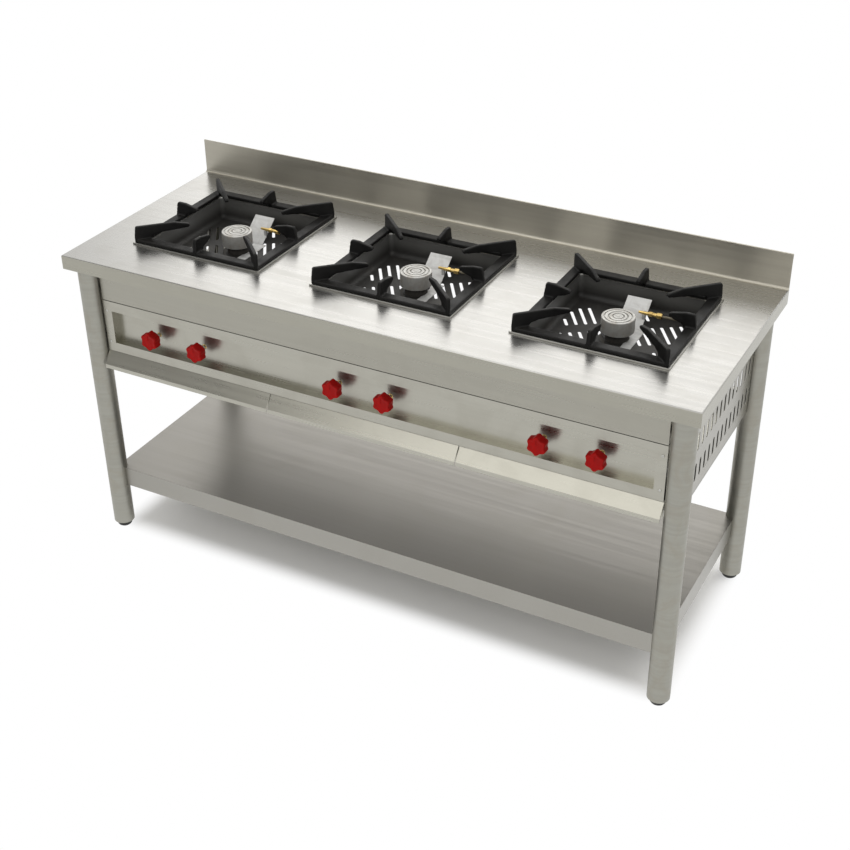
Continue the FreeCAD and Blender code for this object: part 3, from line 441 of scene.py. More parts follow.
@dataclass(frozen=True)
class BrushedSteel(Finish):
    """Stainless sheet with brush lines, wipe marks and dried drops, and on some sheets painted light and
    shade by facing.
    """

    grain: Grain = Grain.ALONG_X
    stretch_of_shine: float = 0.55
    streak: float = 0.10
    smudge: float = 0.5
    smudge_size: float = 6.0
    smudge_colour: Colour = (0.30, 0.285, 0.24)
    edge: float = 0.25
    rubbed: Colour = (0.62, 0.61, 0.57)
    bare: float = 1.0
    relief: float = 0.12
    # Painted tone on faces that look up: painted light on the worktop and panel, painted shade on the shelf.
    painted_top_shading: Colour | None = None
    # Painted shade on faces that look down.
    painted_under_shade: Colour | None = None

    def dress(self, bench: Bench, shader: Node) -> None:
        """Lay brush lines and smudges over bare steel.

        Args:
            bench: Where the nodes go.
            shader: The Principled BSDF.
        """
        place = bench.here()
        lines = bench.place(EFFECTS.brushing, Place=place, Stretch=self.grain.stretch)
        marks = bench.place(EFFECTS.wiping, Place=place, Size=self.smudge_size, Amount=self.smudge)
        edge = bench.place(EFFECTS.edges, Place=place, Reach=0.0012, Amount=self.edge).outputs["Mask"]
        dark = tuple(c * (1.0 - self.streak) for c in self.colour)
        light = tuple(min(1.0, c * (1.0 + self.streak)) for c in self.colour)
        steel = bench.mixed(lines.outputs["Streaks"], dark, light)
        # Painted light and shade on faces that look up.
        if self.painted_top_shading:
            steel = bench.mixed(bench.span(bench.facing_up(), *PAINTED_TOP_RANGE), steel, self.painted_top_shading)
        # Painted shade on faces that look down.
        if self.painted_under_shade:
            steel = bench.mixed(bench.span(bench.facing_up(), *PAINTED_UNDER_RANGE), steel, self.painted_under_shade)
        dirty = bench.mixed(marks.outputs["Cloud"], steel, self.smudge_colour)
        spotted = bench.mixed(bench.times(marks.outputs["Drops"], 0.5), dirty, self.smudge_colour)
        rough = bench.math("ADD", self.roughness, bench.times(lines.outputs["Streaks"], 0.06))
        bench.fill(shader, Base_Color=bench.mixed(edge, spotted, self.rubbed),
                   Roughness=bench.math("ADD", rough, bench.times(marks.outputs["Cloud"], 0.12)),
                   Normal=bench.bump(lines.outputs["Lines"], self.relief, 0.00012),
                   Tangent=bench.joined(bench.node("CombineXYZ"), *self.grain.across))
        shader.inputs["Metallic"].default_value = self.bare
        shader.inputs["Anisotropic"].default_value = self.stretch_of_shine


@dataclass(frozen=True)
class PolishedTube(Finish):
    """Round stainless tube, polished round its length, with scuffs."""

    scuffed: Colour = (0.34, 0.32, 0.27)

    def dress(self, bench: Bench, shader: Node) -> None:
        """Lay faint hoops and scuffs over polished steel.

        Args:
            bench: Where the nodes go.
            shader: The Principled BSDF.
        """
        place = bench.here()
        hoops = bench.place(EFFECTS.brushing, Place=place, Stretch=(6.0, 6.0, 900.0))
        cloud = bench.place(EFFECTS.wiping, Place=place, Size=14.0, Amount=0.5).outputs["Cloud"]
        steel = bench.mixed(hoops.outputs["Streaks"], tuple(c * 0.9 for c in self.colour), self.colour)
        self.cover(bench, shader, bench.mixed(cloud, steel, self.scuffed),
                   bench.bump(hoops.outputs["Lines"], 0.2, 0.0001), cloud, 0.15)
        shader.inputs["Metallic"].default_value = 1.0


@dataclass(frozen=True)
class CastIron(Finish):
    """Black cast iron with a sandy skin, dry patches and rubbed edges."""

    dry: Colour = (0.075, 0.07, 0.062)
    rubbed: Colour = (0.16, 0.15, 0.135)
    dusty: Colour = (0.17, 0.155, 0.13)
    wear: float = 0.35
    dust: float = 0.25

    def dress(self, bench: Bench, shader: Node) -> None:
        """Lay the casting's skin, dust and wear over black iron.

        Args:
            bench: Where the nodes go.
            shader: The Principled BSDF.
        """
        place = bench.here()
        skin = bench.place(EFFECTS.casting, Place=place, Grit=850.0)
        patches = skin.outputs["Patches"]
        dust = bench.place(EFFECTS.settling, Place=place, Amount=self.dust).outputs["Mask"]
        edge = bench.place(EFFECTS.edges, Place=place, Reach=0.002, Amount=self.wear).outputs["Mask"]
        iron = bench.mixed(bench.times(patches, 0.5), self.colour, self.dry)
        self.cover(bench, shader, bench.mixed(edge, bench.mixed(dust, iron, self.dusty), self.rubbed),
                   bench.bump(skin.outputs["Height"], 0.5, 0.0004), patches, 0.16)
        bench.fill(shader, Metallic=bench.times(edge, 0.7))
        shader.inputs["Specular IOR Level"].default_value = 0.18


@dataclass(frozen=True)
class ShadedWell(Finish):
    """A pressed steel well: bright rim, satin grey walls, and painted shade that darkens it to near black
    towards its floor.
    """

    # Painted shade: the near-black colour at the well's floor, with a lighter patch colour in it.
    soot_and_shade: Colour = (0.020, 0.019, 0.017)
    floor_patch_colour: Colour = (0.06, 0.053, 0.044)
    wall: Colour = (0.10, 0.099, 0.094)
    floor_roughness: float = 0.55
    top: float = 0.9
    rim: float = 0.004
    low: float = 0.846
    high: float = 0.888

    def dress(self, bench: Bench, shader: Node) -> None:
        """Darken the metal towards the floor with painted shade and keep its rim bright.

        Args:
            bench: Where the nodes go.
            shader: The Principled BSDF.
        """
        place = bench.here()
        height = bench.parts(place)[2]
        skin = bench.place(EFFECTS.casting, Place=place, Grit=500.0)
        uneven = bench.times(bench.noise(place, 60.0, 4.0, 0.6), 0.004)
        level = bench.math("ADD", height, uneven)
        rim_share = bench.span(level, self.top, self.top + self.rim)
        floor_patches = bench.times(bench.span(skin.outputs["Patches"], 0.55, 1.0), 0.25)
        shaded_floor = bench.mixed(floor_patches, self.soot_and_shade, self.floor_patch_colour)
        # Painted shade: the wall colour darkens towards the bottom of the well.
        bare = bench.span(level, self.low, self.high)
        inside = bench.mixed(bare, shaded_floor, self.wall)
        bench.fill(shader, Base_Color=bench.mixed(rim_share, inside, self.colour), Metallic=rim_share,
                   Roughness=bench.span(bare, 0.0, 1.0, self.floor_roughness, self.roughness),
                   Normal=bench.bump(skin.outputs["Height"], 0.12, 0.0002))


@dataclass(frozen=True)
class TurnedMetal(Finish):
    """Bright metal turned on a lathe, with heat tint and soot."""

    soot_and_shade: Soot = Soot.LIGHT
    ringed: Colour = (0.4, 0.39, 0.36)
    tint: Colour = (0.34, 0.22, 0.11)
    sooty: Colour = (0.05, 0.045, 0.04)
    bare: float = 1.0

    def dress(self, bench: Bench, shader: Node) -> None:
        """Lay tool rings, heat tint and soot over bright metal.

        Args:
            bench: Where the nodes go.
            shader: The Principled BSDF.
        """
        place = bench.here()
        wave = bench.node("TexWave", wave_type="RINGS", rings_direction="Z")
        rings = bench.fill(wave, Vector=place, Scale=260.0, Distortion=0.4).outputs["Fac"]
        patches = bench.place(EFFECTS.casting, Place=place, Grit=700.0).outputs["Patches"]
        heat = bench.span(bench.noise(place, 45.0, 3.0), 0.45, 0.75, 0.0, 0.22)
        metal = bench.mixed(bench.times(rings, 0.25), self.colour, self.ringed)
        tinted = bench.mixed(heat, metal, self.tint)
        sooty = bench.mixed(bench.times(patches, 0.6 * self.soot_and_shade.value), tinted, self.sooty)
        self.cover(bench, shader, sooty, bench.bump(rings, 0.35, 0.0001), patches, 0.2)
        shader.inputs["Metallic"].default_value = self.bare


@dataclass(frozen=True)
class MouldedPlastic(Finish):
    """Moulded plastic with a fine skin, handling marks and dust on faces that look up."""

    deep: Colour = (0.12, 0.01, 0.01)
    dusty: Colour = (0.3, 0.27, 0.23)
    dust: float = 0.12
    shine: float = 0.4

    def dress(self, bench: Bench, shader: Node) -> None:
        """Lay handling marks and dust over coloured plastic.

        Args:
            bench: Where the nodes go.
            shader: The Principled BSDF.
        """
        place = bench.here()
        skin = bench.place(EFFECTS.casting, Place=place, Grit=1500.0)
        dust = bench.place(EFFECTS.settling, Place=place, Amount=self.dust).outputs["Mask"]
        cloud = bench.place(EFFECTS.wiping, Place=place, Size=60.0, Amount=0.6).outputs["Cloud"]
        base = bench.mixed(bench.times(skin.outputs["Patches"], 0.35), self.colour, self.deep)
        self.cover(bench, shader, bench.mixed(dust, base, self.dusty),
                   bench.bump(skin.outputs["Height"], 0.15, 0.0001), cloud, 0.18)
        shader.inputs["Specular IOR Level"].default_value = self.shine


@dataclass(frozen=True)
class MachinedBrass(Finish):
    """Machined brass gone dull in places."""

    dull: Colour = (0.30, 0.2, 0.09)
    bright: Colour = (0.8, 0.62, 0.3)

    def dress(self, bench: Bench, shader: Node) -> None:
        """Lay dull patches and tool marks over brass.

        Args:
            bench: Where the nodes go.
            shader: The Principled BSDF.
        """
        place = bench.here()
        skin = bench.place(EFFECTS.casting, Place=place, Grit=1200.0)
        patches = skin.outputs["Patches"]
        edge = bench.place(EFFECTS.edges, Place=place, Reach=0.0008, Amount=0.5).outputs["Mask"]
        worn = bench.mixed(bench.times(patches, 0.6), self.colour, self.dull)
        self.cover(bench, shader, bench.mixed(edge, worn, self.bright),
                   bench.bump(skin.outputs["Height"], 0.2, 0.0001), patches, 0.25)
        shader.inputs["Metallic"].default_value = 1.0


# The top colours below are painted light on the worktop and panel and painted shade on the shelf's top.
TOP_STEEL = BrushedSteel("top_steel", (0.37, 0.36, 0.31), 0.25, smudge=0.12, streak=0.025,
                         painted_top_shading=(0.43, 0.425, 0.41))
SPLASH_STEEL = BrushedSteel("splash_steel", (0.40, 0.38, 0.325), 0.36, smudge=0.1, streak=0.05)
FRONT_STEEL = BrushedSteel("front_steel", (0.36, 0.35, 0.305), 0.26, smudge=0.15, streak=0.03)
PANEL_STEEL = BrushedSteel("panel_steel", (0.42, 0.41, 0.36), 0.26, smudge=0.2, streak=0.03,
                           painted_top_shading=(0.50, 0.49, 0.43))
# The trays' under colour is painted shade on their undersides.
TRAY_STEEL = BrushedSteel("tray_steel", (0.45, 0.44, 0.385), 0.26, smudge=0.15, streak=0.03,
                          stretch_of_shine=0.7, painted_under_shade=(0.10, 0.098, 0.09))
SIDE_STEEL = BrushedSteel("side_steel", (0.37, 0.36, 0.325), 0.26, grain=Grain.ALONG_Y, smudge=0.2,
                          streak=0.04)
SHELF_STEEL = BrushedSteel("shelf_steel", (0.36, 0.35, 0.32), 0.36, smudge=0.12, smudge_size=4.0, streak=0.02,
                           stretch_of_shine=0.7, relief=0.03, painted_top_shading=(0.285, 0.275, 0.255))
FRAME_STEEL = BrushedSteel("frame_steel", (0.36, 0.355, 0.33), 0.34, smudge=0.5, stretch_of_shine=0.2)
BRACKET_STEEL = BrushedSteel("bracket_steel", (0.56, 0.56, 0.55), 0.5, smudge=0.25, smudge_size=25.0,
                             smudge_colour=(0.22, 0.2, 0.17), stretch_of_shine=0.1, bare=0.45)
TUBE_STEEL = PolishedTube("tube_steel", (0.36, 0.355, 0.315), 0.42)
GRATE_IRON = CastIron("grate_iron", (0.005, 0.0049, 0.0047), 0.44, dry=(0.012, 0.0116, 0.011),
                      rubbed=(0.06, 0.057, 0.052), wear=0.25, dust=0.05)
BURNER_IRON = CastIron("burner_iron", (0.04, 0.037, 0.033), 0.5, wear=0.2, dust=0.4)
WELL_STEEL = ShadedWell("well_steel", (0.40, 0.395, 0.37), 0.3)
HEAD_METAL = TurnedMetal("head_metal", (0.52, 0.515, 0.49), 0.38, bare=0.6)
KNOB_RED = MouldedPlastic("knob_red", (0.34, 0.006, 0.005), 0.34, dust=0.0, shine=0.05)
FOOT_BLACK = MouldedPlastic("foot_black", (0.02, 0.02, 0.02), 0.5, deep=(0.008, 0.008, 0.008), dust=0.25)
GAS_PIPE = CastIron("gas_pipe", (0.16, 0.14, 0.10), 0.38, dry=(0.22, 0.19, 0.13), wear=0.4)
BRASS = MachinedBrass("brass", (0.78, 0.56, 0.2), 0.24)
SPINDLE_STEEL = TurnedMetal("spindle_steel", (0.55, 0.55, 0.53), 0.22, soot_and_shade=Soot.NONE)
SCREW_STEEL = TurnedMetal("screw_steel", (0.60, 0.60, 0.57), 0.25, soot_and_shade=Soot.NONE)


# ---------------------------------------------------------------- mesh helpers
def lathe(form: Form, profile: Profile, turns: int, place: Matrix) -> None:
    """Turn a closed (radius, height) profile about the Z axis of a place.

    Args:
        form: Where the faces go.
        profile: Points from one end of the axis to the other.
        turns: How many steps make a full turn.
        place: Where the turned shape goes.
    """
    rings = []
    for radius, height in profile:
        if radius < 1e-7:
            rings.append([form.verts.new(place @ Vector((0, 0, height)))])
            continue
        ring = []
        for i in range(turns):
            angle = 2 * math.pi * i / turns
            corner = Vector((radius * math.cos(angle), radius * math.sin(angle), height))
            ring.append(form.verts.new(place @ corner))
        rings.append(ring)
    for low, high in zip(rings, rings[1:]):
        skin_between(form, low, high)


def skin_between(form: Form, low: list, high: list) -> None:
    """Close the gap between two rings, either of which may be one point.

    Args:
        form: Where the faces go.
        low: The first ring of vertices.
        high: The second ring.
    """
    count = max(len(low), len(high))
    for i in range(count):
        following = (i + 1) % count
        if len(low) == 1:
            corners = (low[0], high[following], high[i])
        elif len(high) == 1:
            corners = (low[i], low[following], high[0])
        else:
            corners = (low[i], low[following], high[following], high[i])
        form.faces.new(corners)


def slab(form: Form, outline: Profile, half: Callable[[float], float], place: Matrix) -> None:
    """Draw an (x, z) outline out to both sides of the XZ plane of a place.

    Args:
        form: Where the faces go.
        outline: The corners, in order.
        half: The half thickness at a height.
        place: Where the slab goes.
    """
    near = [form.verts.new(place @ Vector((x, -half(z), z))) for x, z in outline]
    far = [form.verts.new(place @ Vector((x, half(z), z))) for x, z in outline]
    form.faces.new(near)
    form.faces.new(list(reversed(far)))
    count = len(outline)
    for i in range(count):
        following = (i + 1) % count
        form.faces.new((near[following], near[i], far[i], far[following]))


def block(form: Form, low: Point, high: Point) -> list:
    """A block between two corners.

    Args:
        form: Where the faces go.
        low: The lowest corner.
        high: The highest corner.

    Returns:
        Its vertices.
    """
    middle = (Vector(low) + Vector(high)) / 2
    size = Vector(high) - Vector(low)
    place = Matrix.Translation(middle) @ Matrix.Diagonal((*size, 1.0))
    return bmesh.ops.create_cube(form, size=1.0, matrix=place)["verts"]


def crease(form: Form, degrees: float = 32.0) -> None:
    """Turn the faces outwards, make them smooth and keep the sharp edges.

    Args:
        form: The shape.
        degrees: The angle from which an edge is sharp.
    """
    bmesh.ops.recalc_face_normals(form, faces=form.faces)
    for face in form.faces:
        face.smooth = True
    for edge in form.edges:
        edge.smooth = edge.calc_face_angle(0.0) < math.radians(degrees)


def linked(name: str, data: object) -> bpy.types.Object:
    """A new object in the scene.

    Args:
        name: The object's name.
        data: Its mesh, camera or light.

    Returns:
        The object.
    """
    made = bpy.data.objects.new(name, data)
    bpy.context.scene.collection.objects.link(made)
    return made


def piece(name: str, mesh: bpy.types.Mesh, finish: Finish, at: Point = (0, 0, 0)) -> bpy.types.Object:
    """A new object with one finish.

    Args:
        name: The piece's name.
        mesh: Its mesh, which other pieces may share.
        finish: Its finish.
        at: Where it goes.

    Returns:
        The object.
    """
    made = linked(name, mesh)
    if not mesh.materials:
        mesh.materials.append(finish.material())
    made.location = at
    LOG.info("piece %s: %d faces, finish %s", name, len(mesh.polygons), finish.name)
    return made


def stand_in(name: str, mesh: bpy.types.Mesh, finish: Finish, node: str,
             at: Point = (0, 0, 0)) -> None:
    """Put a piece in a CAD node's place, on the node's own body.

    Args:
        name: The piece's name.
        mesh: Its mesh.
        finish: Its finish.
        node: The node that it replaces.
        at: Where it goes.
    """
    made = piece(name, mesh, finish, at)
    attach(made, body_of_node(node))
    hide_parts(node)


def mesh_of(name: str, form: Form) -> bpy.types.Mesh:
    """Write a shape to a new mesh and free it.

    Args:
        name: The mesh's name.
        form: The shape.

    Returns:
        The mesh.
    """
    mesh = bpy.data.meshes.new(name)
    form.to_mesh(mesh)
    form.free()
    return mesh


def settled(mesh: bpy.types.Mesh, modifiers: Iterable[tuple[str, dict]]) -> bpy.types.Mesh:
    """Put a mesh through modifiers and keep the result.

    Args:
        mesh: The mesh to start from.
        modifiers: The kind and the settings of each modifier, in order.

    Returns:
        The new mesh.
    """
    carrier = linked("carrier", mesh)
    for kind, settings in modifiers:
        made = carrier.modifiers.new(kind.lower(), kind)
        for name, value in settings.items():
            setattr(made, name, value)
    bpy.context.view_layer.update()
    seen = carrier.evaluated_get(bpy.context.evaluated_depsgraph_get())
    result = bpy.data.meshes.new_from_object(seen)
    result.name = mesh.name + "_made"
    bpy.data.objects.remove(carrier)
    return result


def carved(mesh: bpy.types.Mesh, cutter: Form, **settings: object) -> bpy.types.Mesh:
    """Cut a shape out of a mesh.

    Args:
        mesh: The mesh.
        cutter: The shape, which is used up.
        settings: More settings of the cut.

    Returns:
        The new mesh.
    """
    tool = linked("cutter", mesh_of("cutter", cutter))
    cut = {"object": tool, "operation": "DIFFERENCE", "solver": "EXACT", **settings}
    result = settled(mesh, [("BOOLEAN", cut)])
    bpy.data.objects.remove(tool)
    return result


# ---------------------------------------------------------------- sub-assemblies
@dataclass
class SubAssembly:
    """What every sub-assembly can do."""

    def dress_node(self, name: str, finish: Finish, round_by: float = 0.0006) -> None:
        """Give a CAD node a finish and soft edges.

        Args:
            name: The node.
            finish: Its finish.
            round_by: The radius of its edges, or 0 for none.
        """
        node = frame["nodes"][name]
        node.data.materials.clear()
        node.data.materials.append(finish.material())
        if round_by > 0:
            weld = node.modifiers.new("weld", "WELD")
            weld.merge_threshold = WELD_DISTANCE
            soft = node.modifiers.new("soft_edges", "BEVEL")
            soft.width = round_by
            soft.segments = 2
            soft.limit_method = "ANGLE"
            soft.angle_limit = math.radians(EDGE_ANGLE)
            soft.harden_normals = True
        LOG.info("node %s: finish %s", name, finish.name)

    def make(self) -> None:
        """Build this sub-assembly's own pieces."""

    def dress(self) -> None:
        """Give this sub-assembly's CAD nodes their finishes."""


@dataclass
class Stand(SubAssembly):
    """Legs, feet, sockets and the lower shelf."""

    foot_radius: float = 0.0225
    tip_radius: float = 0.015
    foot_top: float = 0.0197
    stem_radius: float = 0.005
    stem_top: float = 0.0577
    steps: int = 48
    corners: tuple[str, ...] = ("front_left", "front_right", "rear_left", "rear_right")

    def make(self) -> None:
        """Turn one foot and stand a copy under each leg."""
        form = bmesh.new()
        r, t, top = self.foot_radius, self.tip_radius, self.foot_top
        outline = [(0, 0), (t - 0.001, 0), (t, 0.0003), (t + 0.0022, 0.0015), (t + 0.0045, 0.0035),
                   (r - 0.0012, 0.0066), (r - 0.0002, 0.0095), (r, 0.0115), (r, top - 0.0022),
                   (r - 0.0006, top - 0.0008), (r - 0.0018, top), (self.stem_radius + 0.0012, top),
                   (self.stem_radius, top + 0.0012)]
        pitch = 0.00125
        rise = top + 0.002
        while rise + pitch < self.stem_top - 0.001:
            outline += [(self.stem_radius - 0.0006, rise), (self.stem_radius, rise + pitch / 2)]
            rise += pitch
        outline += [(self.stem_radius - 0.0006, self.stem_top - 0.0006),
                    (self.stem_radius - 0.0014, self.stem_top), (0, self.stem_top)]
        lathe(form, outline, self.steps, Matrix.Identity(4))
        crease(form)
        mesh = mesh_of("foot", form)
        for corner in self.corners:
            low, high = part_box(corner + "_foot")
            middle = (low + high) / 2
            stand_in(corner + "_levelling_foot", mesh, FOOT_BLACK, corner + "_foot",
                     (middle.x, middle.y, low.z))

    def dress(self) -> None:
        """Finish the tubes, the shelf and what holds them."""
        for corner in self.corners:
            self.dress_node(corner + "_leg", TUBE_STEEL, 0.0)
        self.dress_node("leg_sockets", FRAME_STEEL, 0.0)
        self.dress_node("leg_inserts", FRAME_STEEL, 0.0)
        self.dress_node("undershelf", SHELF_STEEL, 0.0008)
        self.dress_node("shelf_stiffeners", FRAME_STEEL, 0.0006)


@dataclass
class Top(SubAssembly):
    """The worktop, its upstand and the three wells."""

    def dress(self) -> None:
        """Finish the sheets."""
        self.dress_node("worktop", TOP_STEEL, 0.0004)
        self.dress_node("splashback", SPLASH_STEEL, 0.0)
        for i in BURNERS:
            self.dress_node(f"bowl_{i}", WELL_STEEL, 0.0007)


@dataclass
class Covers(SubAssembly):
    """The front, side and rear covers, and the front panel's screws."""

    head_radius: float = 0.004
    head_height: float = 0.002
    shank_radius: float = 0.002
    shank_length: float = 0.012
    slot_length: float = 0.0044
    slot_width: float = 0.0009
    slot_depth: float = 0.0011

    def make(self) -> None:
        """Turn a pan-head screw, cut its cross and set the four of them."""
        form = bmesh.new()
        r, h = self.head_radius, self.head_height
        outline = [(0, -self.shank_length), (self.shank_radius, -self.shank_length), (self.shank_radius, 0),
                   (r, 0), (r, h * 0.35), (r - 0.0003, h * 0.62), (r - 0.0009, h * 0.84),
                   (r - 0.0018, h * 0.96), (0, h)]
        lathe(form, outline, 32, Matrix.Identity(4))
        crease(form)
        head = mesh_of("screw_head", form)
        cutter = bmesh.new()
        long, wide, low = self.slot_length / 2, self.slot_width / 2, h - self.slot_depth
        block(cutter, (-long, -wide, low), (long, wide, h + 0.001))
        block(cutter, (-wide, -long, low), (wide, long, h + 0.001))
        cut = carved(head, cutter, use_self=True)
        low_box, high_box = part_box("panel_screws")
        front = low_box.y + h
        whole = bmesh.new()
        for x in (low_box.x + r, high_box.x - r):
            for z, turn in ((low_box.z + r, 0.3), (high_box.z - r, 0.9)):
                copy = cut.copy()
                copy.transform(Matrix.Translation((x, front, z)) @ Matrix.Rotation(math.pi / 2, 4, "X")
                               @ Matrix.Rotation(turn + x, 4, "Z"))
                whole.from_mesh(copy)
                bpy.data.meshes.remove(copy)
        crease(whole)
        stand_in("panel_pan_head_screws", mesh_of("panel_screws_made", whole), SCREW_STEEL,
                 "panel_screws")

    def dress(self) -> None:
        """Finish the covers and the rear rails."""
        self.dress_node("front_fascia", FRONT_STEEL, 0.001)
        self.dress_node("control_panel", PANEL_STEEL, 0.0)
        for side in ("left", "right"):
            self.dress_node(side + "_side_panel", SIDE_STEEL, 0.0007)
        for name in ("rear_top_rail", "rear_lower_rail"):
            self.dress_node(name, FRAME_STEEL, 0.0007)


@dataclass
class Trays(SubAssembly):
    """The three drip trays and their ledges."""

    def dress(self) -> None:
        """Finish the trays."""
        for i in BURNERS:
            self.dress_node(f"drip_tray_{i}", TRAY_STEEL, 0.0005)
        self.dress_node("tray_runners", FRAME_STEEL, 0.0)


@dataclass
class GasTrain(SubAssembly):
    """The gas rail, its valves, pipes and jets."""

    jet_count: int = 3
    nut_radius: float = 0.008
    nut_length: float = 0.014
    body_radius: float = 0.005
    collar_radius: float = 0.007
    collar_start: float = 0.4
    collar_end: float = 0.55
    nose_radius: float = 0.003
    bore_radius: float = 0.0009

    def make(self) -> None:
        """Build the pilot jets: a hexagon nut, a barrel, a collar and a drilled nose."""
        low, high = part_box("pilot_jets")
        span = self.jet_span(low.x, high.x)
        length = span[0][1] - span[0][0]
        middle = (low + high) / 2
        whole = bmesh.new()
        for start, end in span:
            place = Matrix.Translation((end, middle.y, middle.z)) @ Matrix.Rotation(-math.pi / 2, 4, "Y")
            nut, collar = self.nut_radius, self.collar_radius
            lathe(whole, [(0, 0), (nut - 0.0012, 0), (nut, 0.0012), (nut, self.nut_length - 0.0012),
                          (nut - 0.0012, self.nut_length), (0, self.nut_length)], 6, place)
            body, nose = self.body_radius, self.nose_radius
            near, far = length * self.collar_start, length * self.collar_end
            lathe(whole, [(0, self.nut_length - 0.001), (body, self.nut_length - 0.001), (body, near),
                          (0, near)], 28, place)
            lathe(whole, [(0, near - 0.0003), (collar - 0.0006, near), (collar, near + 0.0006),
                          (collar, far - 0.0006), (collar - 0.0006, far), (0, far)], 6, place)
            lathe(whole, [(0, far - 0.0005), (body, far), (body - 0.0004, length * 0.62),
                          (nose + 0.0004, length * 0.97), (nose, length), (self.bore_radius, length),
                          (self.bore_radius, length - 0.004), (0, length - 0.004)], 28, place)
        crease(whole)
        stand_in("pilot_jet_set", mesh_of("pilot_jets_made", whole), BRASS, "pilot_jets")

    def jet_span(self, low: float, high: float) -> list[tuple[float, float]]:
        """Where each jet starts and ends along X.

        Args:
            low: The lowest x of the three jets.
            high: The highest x of them.

        Returns:
            The start and the end of each jet.
        """
        pitch = burner_pitch()
        length = (high - low) - 2 * pitch
        return [(low + i * pitch, low + i * pitch + length) for i in range(self.jet_count)]

    def dress(self) -> None:
        """Finish the pipes, the valves and the clamps."""
        self.dress_node("manifold_pipe", GAS_PIPE, 0.0)
        self.dress_node("burner_supply_pipes", GAS_PIPE, 0.0)
        self.dress_node("pilot_supply_pipes", GAS_PIPE, 0.0)
        self.dress_node("inlet_fitting", BRASS, 0.0006)
        self.dress_node("gas_valves", BRASS, 0.0006)
        self.dress_node("manifold_clamps", FRAME_STEEL, 0.0005)
        self.dress_node("pilot_brackets", BRACKET_STEEL, 0.0004)


@dataclass
class Burners(SubAssembly):
    """The burner castings, mixing tubes and grooved heads."""

    radius: float = 0.0425
    bottom: float = 0.861
    top: float = 0.900
    grooves: tuple[tuple[float, float], ...] = ((0.033, 0.036), (0.0225, 0.0255), (0.0125, 0.0155))
    groove_depth: float = 0.0025
    boss_radius: float = 0.007
    boss_rise: float = 0.0015
    spigot_radius: float = 0.024
    spigot_depth: float = 0.011
    bore_radius: float = 0.020
    steps: int = 144
    port_step: int = 4
    port_depth: float = 0.003

    def outline(self) -> Profile:
        """The head's section, from the middle of its top round to its hollow.

        Returns:
            The (radius, height) points about the head's bottom.
        """
        top, r, nick = self.top - self.bottom, self.radius, 0.0005
        section = [(0, top + self.boss_rise), (self.boss_radius - 0.0025, top + self.boss_rise),
                   (self.boss_radius - 0.0015, top + self.boss_rise * 0.8), (self.boss_radius, top)]
        for inner, outer in reversed(self.grooves):
            section += [(inner - nick, top), (inner, top - nick), (inner, top - self.groove_depth),
                        (outer, top - self.groove_depth), (outer, top - nick), (outer + nick, top)]
        section += [(r - 0.0022, top), (r - 0.0008, top - 0.0005), (r - 0.0002, top - 0.0014),
                    (r, top - 0.0025), (r, 0.001), (r - 0.001, 0), (self.spigot_radius, 0),
                    (self.spigot_radius, -self.spigot_depth), (self.bore_radius, -self.spigot_depth),
                    (self.bore_radius, top - 0.012), (0, top - 0.012)]
        return section

    def head_mesh(self) -> bpy.types.Mesh:
        """Turn the head and sink its flame ports.

        Returns:
            The mesh.
        """
        form = bmesh.new()
        lathe(form, self.outline(), self.steps, Matrix.Identity(4))
        bmesh.ops.recalc_face_normals(form, faces=form.faces)
        floor = self.top - self.bottom - self.groove_depth
        ports = []
        for face in form.faces:
            centre = face.calc_center_median()
            flat = all(abs(vertex.co.z - floor) < 1e-6 for vertex in face.verts)
            if flat and self.is_port(centre):
                ports.append(face)
        bmesh.ops.inset_individual(form, faces=ports, thickness=0.0003)
        for face in ports:
            for vertex in face.verts:
                vertex.co.z -= self.port_depth
        crease(form)
        return mesh_of("burner_head", form)

    def is_port(self, centre: Vector) -> bool:
        """Whether a groove face at this place is drilled."""
        step = round((math.atan2(centre.y, centre.x) % (2 * math.pi)) / (2 * math.pi) * self.steps - 0.5)
        return step % self.port_step == 0

    def make(self) -> None:
        """Set a turned head on each burner."""
        mesh = self.head_mesh()
        for i in BURNERS:
            low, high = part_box(f"burner_head_{i}")
            middle = (low + high) / 2
            stand_in(f"burner_{i}_grooved_head", mesh, HEAD_METAL, f"burner_head_{i}",
                     (middle.x, middle.y, self.bottom))

    def dress(self) -> None:
        """Finish the castings below the wells."""
        for i in BURNERS:
            self.dress_node(f"burner_base_{i}", BURNER_IRON, 0.001)
            self.dress_node(f"mixing_tube_{i}", BURNER_IRON, 0.0006)


